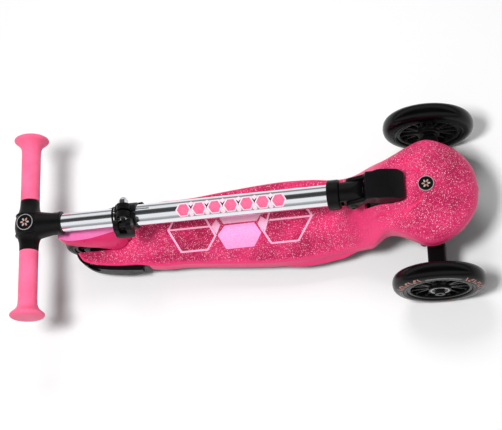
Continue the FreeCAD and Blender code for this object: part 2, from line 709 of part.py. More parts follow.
def lock_plunger():
    """Flat bolt inside the foot, slotted round the fold pin."""
    blade = box((TUBE_FOOT_X - 4, -79), (-5, 5), (COLUMN_Z - 7.5, COLUMN_Z + 7.5))
    tip = rod((FOLD_X, -20, COLUMN_Z), Y, 15.6, 40).fuse(box((-140, FOLD_X), (-20, 20), (100, 150)))
    blade = blade.common(tip)
    tail = rod((-123, 0, COLUMN_Z), X, 5, 12)
    slot = box((FOLD_X - 4.3, FOLD_X + 4.3 + COLLAR_TRAVEL), (-10, 10), (COLUMN_Z - 4.3, COLUMN_Z + 4.3))
    return without(blade.fuse(tail), [slot, rod((CROSS_PIN_X, -10, COLUMN_Z), Y, 2 + SNUG, 20)])


def lock_spring():
    return spring((SEAT_X + 4, 0, COLUMN_Z), X, 4.2, 0.8, 22, 9)


def spring_seat():
    return rod((SEAT_X, 0, COLUMN_Z), X, OUTER_TUBE_BORE - SNUG, 4)


def outer_tube():
    """Lower tube of the column, slit at its top end for the clamp."""
    tube = ring((TUBE_END_X, 0, COLUMN_Z), X, OUTER_TUBE_R, OUTER_TUBE_BORE, TUBE_FOOT_X - TUBE_END_X)
    slit = box((TUBE_END_X - 5, -362), (-1, 1), (COLUMN_Z + 5, COLUMN_Z + 20))
    slit.rotate(V(0, 0, COLUMN_Z), X, -16)
    travel = COLLAR_TRAVEL + 2.2
    pin_slot = box((CROSS_PIN_X - travel, CROSS_PIN_X + 2.2), (-20, 20), (COLUMN_Z - 2.2, COLUMN_Z + 2.2))
    return without(tube, [slit, pin_slot])


def clamp_bush():
    """Plastic bush between the two tubes, with a lip on the tube's end."""
    bush = ring((TUBE_END_X, 0, COLUMN_Z), X, OUTER_TUBE_BORE - SNUG, INNER_TUBE_R + RUNNING, 32)
    lip = ring((TUBE_END_X - 2.5, 0, COLUMN_Z), X, OUTER_TUBE_R + 0.4, INNER_TUBE_R + RUNNING, 2.5)
    return bush.fuse(lip)


def clamp_collar():
    """Split ring with two ears drawn together by the clamp bolt."""
    band = ring((CLAMP_X - 14, 0, COLUMN_Z), X, 17.2, OUTER_TUBE_R + SNUG, 28)
    ears = []
    for side in (1, -1):
        ear = box((CLAMP_X - 9, CLAMP_X + 9), (1.3, 9.5), (COLUMN_Z + 13, CLAMP_BOLT_Z))
        ear = ear.fuse(rod((CLAMP_X, 1.3, CLAMP_BOLT_Z), Y, 9, 8.2))
        ears.append(flipped(ear, side))
    clamp = fused([band] + ears)
    cutters = [box((CLAMP_X - 30, CLAMP_X + 30), (-1.3, 1.3), (COLUMN_Z + 8, COLUMN_Z + 40))]
    cutters.append(rod((CLAMP_X - 20, 0, COLUMN_Z), X, OUTER_TUBE_R + SNUG, 40))
    cutters.append(rod((CLAMP_X, -20, CLAMP_BOLT_Z), Y, 3 + SNUG, 40))
    return without(clamp, cutters)


def clamp_bolt():
    return rod((CLAMP_X, LEVER_Y - 5.5, CLAMP_BOLT_Z), Y, 3, 40)


def clamp_nut():
    start = (CLAMP_X, 9.5, CLAMP_BOLT_Z)
    nut = hexagon(start, Y, 11, 5.5)
    dome = Part.makeSphere(5.2, V(CLAMP_X, 14.6, CLAMP_BOLT_Z)).common(
        box((CLAMP_X - 10, CLAMP_X + 10), (13, 22), (130, 160)))
    return nut.fuse(dome).cut(rod(start, Y, 3 + SNUG, 5.1))


def clamp_washer():
    return ring((CLAMP_X, -11.2, CLAMP_BOLT_Z), Y, 5.4, 3 + SNUG, 1.7)


def lever_barrel():
    barrel = rod((CLAMP_X - 12, LEVER_Y, CLAMP_BOLT_Z), X, 4, 24)
    return barrel.cut(rod((CLAMP_X, LEVER_Y - 10, CLAMP_BOLT_Z), Y, 3 + SNUG, 20))


def clamp_lever():
    """Cam lever: a fork on the barrel and a handle curling down past the tube."""
    cheeks = []
    for x in ((CLAMP_X - 12, CLAMP_X - 5), (CLAMP_X + 5, CLAMP_X + 12)):
        disc = rod((x[0], LEVER_Y, CLAMP_BOLT_Z), X, 8.5, x[1] - x[0])
        link = cross_prism([(-28.5, 146), (-30.8, 139.5), (-24, 134), (-17, 138)], x)
        cheeks.append(disc.fuse(link))
    x = CLAMP_X - 12
    outside = spline_edge([(x, -29.8, 142), (x, -31.6, 136.5), (x, -31.4, 130), (x, -29.6, LEVER_FOOT_Z)])
    inside = spline_edge([(x, -26.8, LEVER_FOOT_Z), (x, -27.6, 130), (x, -26.2, 133.5), (x, -22.5, 136)])
    ends = [Part.makeLine(V(x, -29.6, LEVER_FOOT_Z), V(x, -26.8, LEVER_FOOT_Z))]
    ends.append(Part.makeLine(V(x, -22.5, 136), V(x, -29.8, 142)))
    profile = Part.Face(Part.Wire([outside, ends[0], inside, ends[1]]))
    handle = profile.extrude(X * LEVER_WIDTH)
    paddle = rod((x + LEVER_WIDTH / 2, -60, LEVER_FOOT_Z + LEVER_WIDTH / 2), Y, LEVER_WIDTH / 2, 60)
    shoulders = box((x, x + LEVER_WIDTH), (-60, 0), (LEVER_FOOT_Z + LEVER_WIDTH / 2, 150))
    handle = handle.common(paddle.fuse(shoulders))
    lever = fused(cheeks + [handle])
    return lever.cut(rod((CLAMP_X - 20, LEVER_Y, CLAMP_BOLT_Z), X, 4 + RUNNING, 40))


# ---------------------------------------------------------------- handlebar

INNER_TUBE_X = (-519.0, -212.0)
CROSSBAR_R = 9.5
BAR_BADGE_Z = 141.6
SOCKET_END_X = -484.0


def inner_tube():
    return ring((INNER_TUBE_X[0], 0, COLUMN_Z), X, INNER_TUBE_R, 11, INNER_TUBE_X[1] - INNER_TUBE_X[0])


def tube_plug():
    """Guide plug on the inner tube's lower end."""
    stem = rod((INNER_TUBE_X[1] - 12, 0, COLUMN_Z), X, 11 - SNUG, 14)
    flange = rod((INNER_TUBE_X[1], 0, COLUMN_Z), X, OUTER_TUBE_BORE - 0.1, 3)
    return stem.fuse(flange)


def t_joint():
    """Moulded joint between the column and the crossbar."""
    half = [(-35, 12.9), (-29, 13), (-22, 13.9), (-15, 16.4), (-8, 18.6), (0, 19.4)]
    profile = half + [(-y, r) for y, r in reversed(half[:-1])]
    profile = profile + [(35, 0), (-35, 0)]
    arms = turned_y(profile, BAR_X, COLUMN_Z, smooth=(0, 10))
    socket = rod((BAR_X, 0, COLUMN_Z), X, 15, SOCKET_END_X - BAR_X)
    flare = Part.makeCone(18.8, 15, 20, V(BAR_X + 12, 0, COLUMN_Z), X)
    lip = rod((SOCKET_END_X - 4, 0, COLUMN_Z), X, 15.8, 4)
    joint = fused([arms, socket, flare, lip])
    cutters = [rod((BAR_X, -60, COLUMN_Z), Y, CROSSBAR_R + SNUG, 120)]
    cutters.append(rod((INNER_TUBE_X[0] - 1, 0, COLUMN_Z), X, INNER_TUBE_R + SNUG, 60))
    cutters.append(rod((BAR_X, 0, BAR_BADGE_Z), Z, 11.1, 20))
    return without(joint, cutters)


def crossbar():
    return ring((BAR_X, -GRIP_END + 5, COLUMN_Z), Y, CROSSBAR_R, 8, 2 * GRIP_END - 10)


def bar_badge():
    disc = rod((BAR_X, 0, BAR_BADGE_Z), Z, 11, 2.3)
    return disc.cut(ring((BAR_X, 0, BAR_BADGE_Z + 1.9), Z, 9.6, 8.9, 2))


def grip(side):
    """Rubber grip with a closed, flared end."""
    bore = CROSSBAR_R + SNUG
    end = GRIP_END
    profile = [(GRIP_START, GRIP_R), (end - 26, GRIP_R), (end - 17, GRIP_R + 0.6), (end - 11, GRIP_R + 4),
               (end - 7.5, FLANGE_R - 2), (end - 5, FLANGE_R), (end - 2, FLANGE_R - 1.4),
               (end, FLANGE_R - 5.6), (end, 0), (end - 4.8, 0), (end - 4.8, bore), (GRIP_START, bore)]
    body = turned_y(profile, BAR_X, COLUMN_Z, smooth=(1, 7))
    return flipped(body, side)


# ---------------------------------------------------------------- writing the nodes

def write(name, shape):
    placed = shape.copy()
    placed.translate(X * ORIGIN_SHIFT)
    placed.exportStep("parts/" + name + ".step")
    state = "ok" if placed.isValid() and placed.Solids else "CHECK"
    print(name, len(placed.Solids), "solids", round(placed.Volume / 1000.0, 2), "cm3", state)


def main():
    os.makedirs("parts", exist_ok=True)
    single = (
        deck_shell, nose_hood, nose_badge, under_frame, front_housing, hood_screws, deck_screws,
        kingpins, kingpin_nuts, lean_bolt, lean_nut, centring_springs, rear_axle, rear_axle_nut,
        rear_spacers, brake_pin, brake_spring, steering_block, steering_pin, fold_pin, fold_pin_nut,
        tie_rod, brake_fender, brake_pad, column_sleeve, release_collar, cross_pin, lock_plunger,
        lock_spring, spring_seat, outer_tube, clamp_bush, clamp_collar, clamp_bolt, clamp_nut,
        clamp_washer, lever_barrel, clamp_lever, inner_tube, tube_plug, t_joint, crossbar, bar_badge,
    )
    for make in single:
        write(make.__name__, make())
    for name, side in SIDES.items():
        y = side * TRACK_HALF
        write(name + "_knuckle", knuckle(side))
        write(name + "_axle_bolt", axle_bolt(side))
        write(name + "_tyre", tyre(0, y, FRONT_R, 42))
        write(name + "_wheel_core", wheel_core(0, y, FRONT_R, 42, 8))
        write(name + "_bearings", bearings(0, y, FRONT_R))
        write(name + "_grip", grip(side))
    write("rear_tyre", tyre(REAR_AXLE_X, 0, REAR_R, 27))
    write("rear_wheel_core", wheel_core(REAR_AXLE_X, 0, REAR_R, 27, 6))
    write("rear_bearings", bearings(REAR_AXLE_X, 0, REAR_R))


main()
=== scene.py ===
import json
import math

import bmesh
import bpy
import numpy as np
from mathutils import Matrix, Vector

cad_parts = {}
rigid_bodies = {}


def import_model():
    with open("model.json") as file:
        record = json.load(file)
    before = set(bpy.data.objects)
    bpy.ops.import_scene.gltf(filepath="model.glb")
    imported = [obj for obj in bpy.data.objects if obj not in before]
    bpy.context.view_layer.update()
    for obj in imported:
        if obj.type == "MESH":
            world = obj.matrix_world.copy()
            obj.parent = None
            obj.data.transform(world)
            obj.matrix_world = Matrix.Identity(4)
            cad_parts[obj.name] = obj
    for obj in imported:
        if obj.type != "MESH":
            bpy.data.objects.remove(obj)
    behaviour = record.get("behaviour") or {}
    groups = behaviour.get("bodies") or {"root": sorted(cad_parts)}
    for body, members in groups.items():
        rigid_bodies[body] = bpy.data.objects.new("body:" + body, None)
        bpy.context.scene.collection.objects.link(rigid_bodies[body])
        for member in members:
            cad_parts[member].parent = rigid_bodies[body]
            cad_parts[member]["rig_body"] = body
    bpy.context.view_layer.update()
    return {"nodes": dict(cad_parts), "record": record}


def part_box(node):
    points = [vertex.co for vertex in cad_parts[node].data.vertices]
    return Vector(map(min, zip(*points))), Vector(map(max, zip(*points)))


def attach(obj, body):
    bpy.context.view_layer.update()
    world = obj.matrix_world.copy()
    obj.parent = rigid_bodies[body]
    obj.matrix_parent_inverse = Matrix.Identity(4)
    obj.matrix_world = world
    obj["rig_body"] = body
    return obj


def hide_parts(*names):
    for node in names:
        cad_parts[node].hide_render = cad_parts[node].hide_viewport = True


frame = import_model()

# Visual model of the folded kick scooter. Helper functions take millimetres measured
# from the middle of the front axle, as the part is drawn, and turn them into metres.

MM = 0.001
NODES = frame["nodes"]
SLOT_OF = {s["node"]: s["material_slot"] for s in frame["record"]["subparts"]}
SIDES = {"left": 1, "right": -1}


def middle(node):
    """Middle of a CAD node's box."""
    low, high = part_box(node)
    return (low + high) / 2


def half_height(node):
    """Half the height of a CAD node's box, in millimetres."""
    low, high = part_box(node)
    return (high.z - low.z) / 2 / MM


def half_breadth(node):
    """Half the breadth across the scooter of a CAD node's box, in millimetres."""
    low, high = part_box(node)
    return (high.y - low.y) / 2 / MM


AXLE_X = middle("left_tyre").x
TUBE = middle("outer_tube")
TUBE_R = half_height("outer_tube")
DECK_Z = 50.0
FRONT_TYRE_INNER = 42.0
REAR_TYRE_INNER = 27.0


def at(x, y, z):
    """Point in the row frame from millimetres about the front axle."""
    return Vector((AXLE_X + x * MM, y * MM, z * MM))


# ---------------------------------------------------------------- node materials

def linear(red, green, blue):
    """Linear colour from 8-bit display values."""
    values = []
    for value in (red, green, blue):
        share = value / 255
        values.append(share / 12.92 if share <= 0.04045 else ((share + 0.055) / 1.055) ** 2.4)
    return (*values, 1.0)


class NodeTree:
    """Short way to add nodes to a node tree and link them."""

    def __init__(self, tree):
        self.tree = tree

    def node(self, kind, **sockets):
        made = self.tree.nodes.new(kind)
        for socket, value in sockets.items():
            self.feed(made.inputs[socket.replace("_", " ")], value)
        return made

    def feed(self, socket, value):
        if isinstance(value, bpy.types.NodeSocket):
            self.tree.links.new(value, socket)
        else:
            socket.default_value = value

    def math(self, operation, first, second=0.0):
        made = self.node("ShaderNodeMath")
        made.operation = operation
        self.feed(made.inputs[0], first)
        self.feed(made.inputs[1], second)
        return made.outputs[0]

    def ramp(self, value, low, high, to_low=0.0, to_high=1.0):
        made = self.node("ShaderNodeMapRange", Value=value)
        for socket, number in zip(("From Min", "From Max", "To Min", "To Max"), (low, high, to_low, to_high)):
            made.inputs[socket].default_value = number
        return made.outputs["Result"]

    def mix(self, share, first, second):
        made = self.tree.nodes.new("ShaderNodeMix")
        made.data_type = "RGBA"
        self.feed(made.inputs["Factor"], share)
        self.feed(made.inputs["A"], first)
        self.feed(made.inputs["B"], second)
        return made.outputs["Result"]


class Shader(NodeTree):
    """A material's node tree round one Principled BSDF, in object coordinates."""

    def __init__(self, name, **surface):
        self.material = bpy.data.materials.new(name)
        self.material.use_nodes = True
        super().__init__(self.material.node_tree)
        self.surface = self.tree.nodes["Principled BSDF"]
        for socket, value in surface.items():
            self.surface.inputs[socket.replace("_", " ")].default_value = value
        self.place = self.node("ShaderNodeTexCoord").outputs["Object"]

    def noise(self, scale, detail=2.0, vector=None):
        made = self.node("ShaderNodeTexNoise", Scale=scale, Detail=detail, Vector=vector or self.place)
        return made.outputs["Fac"]

    def stretched(self, scale):
        """Object coordinates scaled apart on each axis."""
        made = self.node("ShaderNodeMapping", Vector=self.place)
        made.inputs["Scale"].default_value = scale
        return made.outputs["Vector"]

    def cells(self, scale):
        return self.node("ShaderNodeTexVoronoi", Scale=scale, Vector=self.place)

    def bump(self, height, strength, distance):
        made = self.node("ShaderNodeBump", Strength=strength, Distance=distance, Height=height)
        self.feed(self.surface.inputs["Normal"], made.outputs["Normal"])

    def colour(self, value):
        self.feed(self.surface.inputs["Base Color"], value)

    def rough(self, value):
        self.feed(self.surface.inputs["Roughness"], value)


def moulded(name, light, dark, roughness, grain=0.00006, **surface):
    """Moulded plastic or rubber: soft colour drift, fine grain and a little handling wear."""
    s = Shader(name, **surface)
    drift = s.noise(38.0, 3.0)
    fine = s.noise(1500.0, 2.0)
    s.colour(s.mix(s.ramp(drift, 0.35, 0.7), light, dark))
    s.rough(s.ramp(s.noise(90.0, 4.0), 0.3, 0.75, roughness - 0.05, roughness + 0.09))
    s.bump(fine, 0.35, grain)
    return s.material


# (cells in a metre, how rare a lit flake is, its radius in cell widths) for each size of flake
FLAKES = ((430.0, 0.46, 0.31), (640.0, 0.50, 0.34), (880.0, 0.60, 0.36))


def glitter(name, light, deep, spark):
    """Glitter flakes where the mesh's glitter value is 1, plain pink elsewhere."""
    s = Shader(name, Specular_IOR_Level=0.22)
    attribute = s.node("ShaderNodeAttribute")
    attribute.attribute_name = "glitter"
    mask = attribute.outputs["Fac"]
    # The flakes are real; their pale colour is a painted glint, light caught by each flake.
    lit = 0.0
    for scale, rarity, radius in FLAKES:
        flakes = s.cells(scale)
        chance = s.node("ShaderNodeSeparateColor", Color=flakes.outputs["Color"])
        spot = s.math("MULTIPLY", s.ramp(chance.outputs["Green"], rarity, rarity + 0.42),
                      s.ramp(flakes.outputs["Distance"], radius, radius * 0.45))
        lit = s.math("MAXIMUM", spot, lit)
    lit = s.math("MULTIPLY", lit, mask)
    tone = s.node("ShaderNodeSeparateColor", Color=s.cells(900.0).outputs["Color"])
    patches = s.ramp(s.noise(24.0, 4.0), 0.36, 0.66, 0.12, 0.80)
    dark = s.math("MULTIPLY", s.math("ADD", s.math("MULTIPLY", tone.outputs["Red"], 0.35), patches), mask)
    drift = s.ramp(s.noise(16.0, 3.0), 0.35, 0.68)
    plain = s.mix(drift, light, linear(236, 60, 120))
    ground = s.mix(dark, plain, deep)
    s.colour(s.mix(lit, ground, spark))
    s.rough(s.ramp(lit, 0.0, 1.0, 0.40, 0.25))
    s.bump(s.math("MULTIPLY", tone.outputs["Blue"], mask), 0.35, 0.00008)
    return s.material


def polished(name, light, dark, roughness, streak_axis):
    """Bright metal with fine drawing streaks along one axis."""
    s = Shader(name, Metallic=1.0)
    scale = [260.0, 260.0, 260.0]
    scale[streak_axis] = 3.0
    streaks = s.noise(9.0, 3.0, s.stretched(scale))
    s.colour(s.mix(s.ramp(streaks, 0.3, 0.75), light, dark))
    s.rough(s.ramp(s.noise(60.0, 3.0), 0.3, 0.7, roughness - 0.01, roughness + 0.03))
    s.bump(streaks, 0.05, 0.000008)
    return s.material


def enamel(name, colour, second, roughness):
    """Printed or painted mark with a faint mottling."""
    s = Shader(name, Specular_IOR_Level=0.15)
    s.colour(s.mix(s.ramp(s.noise(420.0, 3.0), 0.4, 0.65), colour, second))
    s.rough(s.ramp(s.noise(150.0), 0.3, 0.7, roughness, roughness + 0.1))
    s.bump(s.noise(900.0), 0.2, 0.00004)
    return s.material


def floor_paper(name):
    """Seamless white paper."""
    s = Shader(name)
    s.colour(s.mix(s.ramp(s.noise(2.0, 2.0), 0.3, 0.7), linear(245, 245, 245), linear(242, 242, 243)))
    s.rough(s.ramp(s.noise(40.0), 0.3, 0.7, 0.75, 0.9))
    return s.material


# The last colour given to glitter() is the flakes' pale colour, a painted glint.
MATERIALS = {
    "deck_pink": glitter("deck_pink", linear(244, 62, 122), linear(170, 24, 74), linear(255, 214, 230)),
    "fender_pink": moulded("fender_pink", linear(228, 52, 112), linear(214, 36, 98), 0.32,
                           Specular_IOR_Level=0.35),
    # Lighter pink for the fender's flat top: a painted reflection of the lights on the glossy plateau.
    "fender_top_painted_sheen": moulded("fender_top_painted_sheen", linear(250, 138, 194), linear(241, 118, 182), 0.42,
                          Specular_IOR_Level=0.3),
    "grip_rubber": moulded("grip_rubber", linear(255, 116, 156), linear(250, 102, 142), 0.5, 0.00009,
                           Specular_IOR_Level=0.3),
    "black_nylon": moulded("black_nylon", linear(13, 13, 15), linear(8, 8, 9), 0.38, 0.00006,
                           Specular_IOR_Level=0.17),
    "black_tyre": moulded("black_tyre", linear(6, 6, 7), linear(3, 3, 4), 0.20, 0.00003,
                          Specular_IOR_Level=0.16),
    "black_core": moulded("black_core", linear(16, 16, 17), linear(9, 9, 10), 0.28, 0.00004,
                          Specular_IOR_Level=0.3),
    "polished_tube": polished("polished_tube", linear(236, 238, 242), linear(222, 225, 230), 0.09, 0),
    "chrome_bolt": polished("chrome_bolt", linear(232, 233, 236), linear(205, 206, 210), 0.12, 1),
    "zinc_steel": polished("zinc_steel", linear(188, 190, 192), linear(158, 160, 164), 0.32, 1),
    "spring_steel": polished("spring_steel", linear(150, 151, 155), linear(112, 113, 118), 0.28, 2),
    "black_steel": moulded("black_steel", linear(20, 20, 22), linear(12, 12, 14), 0.34, 0.00003,
                           Metallic=0.3),
    "bearing_steel": polished("bearing_steel", linear(206, 208, 212), linear(168, 170, 175), 0.2, 1),
    "badge": enamel("badge", linear(10, 10, 12), linear(16, 15, 18), 0.35),
    "silver_print": enamel("silver_print", linear(176, 172, 170), linear(150, 147, 146), 0.4),
    "rose_print": enamel("rose_print", linear(196, 140, 124), linear(170, 112, 98), 0.45),
    "pale_print": enamel("pale_print", linear(255, 186, 214), linear(250, 166, 202), 0.4),
    "lilac_print": enamel("lilac_print", linear(253, 170, 222), linear(249, 152, 214), 0.4),
    "deep_print": glitter("deep_print", linear(206, 36, 92), linear(146, 16, 58), linear(255, 190, 214)),
    "tube_print": enamel("tube_print", linear(236, 112, 150), linear(228, 96, 138), 0.35),
    "tube_edge": enamel("tube_edge", linear(255, 214, 228), linear(252, 204, 220), 0.35),
}


# ---------------------------------------------------------------- mesh helpers

def smooth(obj, angle=40.0):
    """Smooth shading that keeps edges sharper than an angle."""
    obj.data.shade_smooth()
    obj.data.set_sharp_from_angle(angle=math.radians(angle))


def piece(name, mesh, body, material, node=None, angle=40.0):
    """Object that rides on a body and, when a node is given, stands for it."""
    obj = bpy.data.objects.new(name, mesh)
    bpy.context.scene.collection.objects.link(obj)
    mesh.materials.clear()
    mesh.materials.append(MATERIALS[material])
    smooth(obj, angle)
    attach(obj, body)
    if node:
        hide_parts(node)
    return obj


def darken(*names):
    """Black steel for CAD nodes that are seen as they are."""
    for name in names:
        for holder in NODES[name].material_slots:
            holder.material = MATERIALS["black_steel"]


def apply_modifiers(obj):
    """Bakes the modifiers into the object's own mesh."""
    graph = bpy.context.evaluated_depsgraph_get()
    mesh = bpy.data.meshes.new_from_object(obj.evaluated_get(graph))
    obj.modifiers.clear()
    obj.data = mesh


def mesh_from(name, points, faces):
    mesh = bpy.data.meshes.new(name)
    mesh.from_pydata([tuple(p) for p in points], [], faces)
    mesh.validate()
    return mesh


def grid_faces(rows, columns, first=0):
    """Quads over a grid of points that is stored row by row."""
    faces = []
    for row in range(rows - 1):
        for column in range(columns - 1):
            corner = first + row * columns + column
            faces.append((corner, corner + 1, corner + columns + 1, corner + columns))
    return faces


def outward(mesh):
    """Turns all faces outwards and joins doubled points."""
    work = bmesh.new()
    work.from_mesh(mesh)
    bmesh.ops.remove_doubles(work, verts=work.verts, dist=1e-6)
    bmesh.ops.recalc_face_normals(work, faces=work.faces)
    work.to_mesh(mesh)
    work.free()
    return mesh


def turned(name, profile, centre, segments=96, side=1):
    """Closed mesh turned about a line along Y, from (y, radius) points in millimetres."""
    points = []
    faces = []
    count = len(profile)
    for step in range(segments):
        angle = 2 * math.pi * step / segments
        for y, radius in profile:
            spot = Vector((radius * math.cos(angle), side * y, radius * math.sin(angle)))
            points.append(centre + spot * MM)
    for step in range(segments):
        following = (step + 1) % segments
        for index in range(count):
            after = (index + 1) % count
            faces.append((step * count + index, step * count + after,
                          following * count + after, following * count + index))
    return outward(mesh_from(name, points, faces))


def rounded(points, corner=2):
    """Closed loop with each corner cut into a short curve, by repeated corner cutting."""
    loop = [Vector(p) for p in points]
    for _ in range(corner):
        cut = []
        for index, point in enumerate(loop):
            following = loop[(index + 1) % len(loop)]
            cut.append(point.lerp(following, 0.25))
            cut.append(point.lerp(following, 0.75))
        loop = cut
    return loop


def plate(name, loop, thickness, along, bevel=0.0):
    """Flat plate from a closed loop of points, extruded and edge-rounded."""
    work = bmesh.new()
    verts = [work.verts.new(p) for p in loop]
    face = work.faces.new(verts)
    moved = bmesh.ops.extrude_face_region(work, geom=[face])
    top = [v for v in moved["geom"] if isinstance(v, bmesh.types.BMVert)]
    bmesh.ops.translate(work, verts=top, vec=Vector(along) * thickness)
    bmesh.ops.recalc_face_normals(work, faces=work.faces)
    if bevel:
        bmesh.ops.bevel(work, geom=work.edges[:], offset=bevel, segments=2, affect="EDGES", profile=0.6)
    mesh = bpy.data.meshes.new(name)
    work.to_mesh(mesh)
    work.free()
    return mesh


def band(name, outer, inner, low, high):
    """Closed band between two loops of (x, y), from one height to another, all in metres."""
    count = len(outer)
    points = [(x, y, level) for level in (low, high) for loop in (outer, inner) for x, y in loop]
    faces = []
    for index in range(count):
        after = (index + 1) % count
        faces.append((index, after, count + after, count + index))
        faces.append((2 * count + index, 3 * count + index, 3 * count + after, 2 * count + after))
        faces.append((index, 2 * count + index, 2 * count + after, after))
        faces.append((count + index, count + after, 3 * count + after, 3 * count + index))
    return outward(mesh_from(name, points, faces))


def thicken(obj, wall, angle):
    """Gives a sheet a wall in millimetres, on its inner side."""
    modifier = obj.modifiers.new("wall", "SOLIDIFY")
    modifier.thickness = wall * MM
    modifier.offset = -1.0
    apply_modifiers(obj)
    smooth(obj, angle)


def moulded_copy(name, node, material, voxel, passes):
    """Piece of a CAD node's own shape with its corners melted round, as moulding leaves them."""
    obj = piece(name, NODES[node].data.copy(), NODES[node]["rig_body"], material, node)
    remesh = obj.modifiers.new("remesh", "REMESH")
    remesh.mode = "VOXEL"
    remesh.voxel_size = voxel * MM
    relax = obj.modifiers.new("relax", "SMOOTH")
    relax.factor = 0.5
    relax.iterations = passes
    apply_modifiers(obj)
    obj.data.materials.clear()
    obj.data.materials.append(MATERIALS[material])
    smooth(obj, 60.0)


# ---------------------------------------------------------------- pink deck and nose hood

# (x, half width) of the body in plan, from the tail to the nose
OUTLINE = (
    (-492, 0), (-491, 11), (-487, 21), (-480, 29.6), (-466, 35), (-450, 38.2), (-430, 40.6),
    (-402, 42), (-386, 44.6), (-368, 46.6), (-348, 46.5), (-324, 47.5), (-288, 51), (-241, 55), (-200, 57),
    (-162, 55.5), (-139, 52.5), (-112, 50.5), (-94, 52), (-80, 53.5), (-68, 50.5),
    (-57, 48.5), (-44, 52.5), (-29, 60), (-14, 68), (-3, 70.5), (8, 69), (20, 64),
    (35, 54.5), (48, 40), (57, 23), (61, 0),
)
# (x, height on the centre line, height at the edge, half width) of the top surface
CROWN = (
    (-150, 50, 50, 55), (-140, 50.3, 50, 54), (-128, 53.5, 50.5, 54), (-114, 64, 53, 54),
    (-100, 82, 58, 54), (-88, 99, 66, 55), (-78, 113, 76, 55), (-68, 125, 89, 54),
    (-56, 131, 104, 53), (-40, 133, 110, 59), (-22, 133.5, 110, 67), (0, 133, 109, 71.5),
    (18, 130, 107, 66), (34, 124, 105, 58), (48, 116, 102, 48), (58, 107, 99, 38), (68, 96, 93, 34),
)
CROWN_POWER = 2.2
# lower edge of the pink skin, seen from the side
LOWER_EDGE = ((-500, 46), (-398, 46), (-386, 29), (-145, 29), (-128, 32), (-105, 42), (-84, 56),
              (-64, 80), (-44, 92), (-30, 94), (70, 94))
# (x, radius of the rounded rim)
RIM_ROUND = ((-500, 1.8), (-402, 1.8), (-384, 5.5), (70, 6.0))
# (x, half width) of the shallow crease that runs round the column's foot and fades at the badge,
# its depth and half width, and how far the ground beside it steps down
CREASE = ((-82, 28.5), (-50, 29.2), (-28, 28.4), (-18, 24.0), (-9, 16.5), (-3, 11.0))
CREASE_DEPTH = 4.2
CREASE_HALF = 1.5
CREASE_STEP = 1.3
SKIN_WALL = 3.0
# joint between the deck's skin and the hood's, and half the gap between them
SEAM_X = -84.0
SEAM_GAP = 0.08
# points along and across the skin; the crowding is the share of the rows drawn towards both ends
SKIN_ROWS = 520
SKIN_COLUMNS = 131
ROW_CROWDING = 0.7
# shares of the way down the side wall, how far its foot flares and where the flare comes and goes
WALL_SHARES = (0.12, 0.3, 0.5, 0.7, 0.85, 1.0)
WALL_FLARE = 4.0
FLARE_X = (-215, -170, -125, -100)
# height of the axis on which the steering block leans, and the round pocket that it swings in:
# radius, start and end, half angle in degrees, and softness of its border
LEAN_Z = 74.0
POCKET_R = 56.8
POCKET_X = (-87.0, -14.5)
POCKET_ANGLE = 42.0
POCKET_SOFT = 1.4


def spline(knots, count):
    """Points along a Catmull-Rom curve through rows of numbers."""
    rows = np.array(knots, float)
    padded = np.vstack([2 * rows[0] - rows[1], rows, 2 * rows[-1] - rows[-2]])
    samples = []
    for position in np.linspace(0, len(rows) - 1.0001, count):
        index = int(position)
        share = position - index
        a, b, c, d = padded[index:index + 4]
        samples.append(0.5 * (2 * b + (c - a) * share + (2 * a - 5 * b + 4 * c - d) * share ** 2
                              + (3 * b - a - 3 * c + d) * share ** 3))
    return np.array(samples)


EDGE_CURVE = spline(OUTLINE, 420)
EDGE_CURVE = EDGE_CURVE[np.argsort(EDGE_CURVE[:, 0])]
CROWN_CURVE = spline(CROWN, 600)


def half_width(x):
    """Half width of the body in plan."""
    return np.interp(x, EDGE_CURVE[:, 0], np.maximum(EDGE_CURVE[:, 1], 0))


def distance_to_edge(x, y):
    """Distance in plan from points to the body's outline, one straight stretch at a time."""
    nearest = np.full(x.shape, 1e9)
    for start, end in zip(EDGE_CURVE[:-1], EDGE_CURVE[1:]):
        step_x, step_y = end - start
        from_x = x - start[0]
        from_y = np.abs(y) - start[1]
        share = (from_x * step_x + from_y * step_y) / max(step_x ** 2 + step_y ** 2, 1e-9)
        share = np.clip(share, 0, 1)
        nearest = np.minimum(nearest, np.hypot(from_x - share * step_x, from_y - share * step_y))
    return nearest


def ease(value, low, high):
    """Smooth step from 0 at the low value to 1 at the high one."""
    share = np.clip((value - low) / (high - low), 0, 1)
    return share * share * (3 - 2 * share)


def crown(x, y):
    """Height of the body's top surface."""
    centre, edge, width = (np.interp(x, CROWN_CURVE[:, 0], CROWN_CURVE[:, k]) for k in (1, 2, 3))
    top = edge + (centre - edge) * (1 - np.abs(y / width) ** CROWN_POWER)
    return np.where(x < CROWN[0][0], DECK_Z, top)


def pocket_share(x, y, z):
    """1 inside the pocket that lets the steering block lean, easing to 0 at its border."""
    angle = np.degrees(np.arctan2(np.abs(y), z - LEAN_Z))
    sideways = 1 - ease(angle, POCKET_ANGLE - 9.0, POCKET_ANGLE)
    lengthways = ease(x, POCKET_X[0], POCKET_X[0] + 2) * (1 - ease(x, POCKET_X[1] - 13.0, POCKET_X[1]))
    return sideways * lengthways


def crease(x, y):
    """How deep the crease is, from 0 to 1, and how far the ground beside it steps down."""
    line_x, line_y = zip(*CREASE)
    off = (np.abs(y) - np.interp(x, line_x, line_y)) / np.where(x < -28, 1.0, 1.35)
    fade = ease(x, CREASE[0][0], -64) * (1 - ease(x, -12, CREASE[-1][0]))
    valley = fade * np.exp(-(off / CREASE_HALF) ** 2)
    beside = fade * ease(off, -CREASE_HALF, CREASE_HALF) * (1 - ease(off, 6, 16))
    return valley, beside


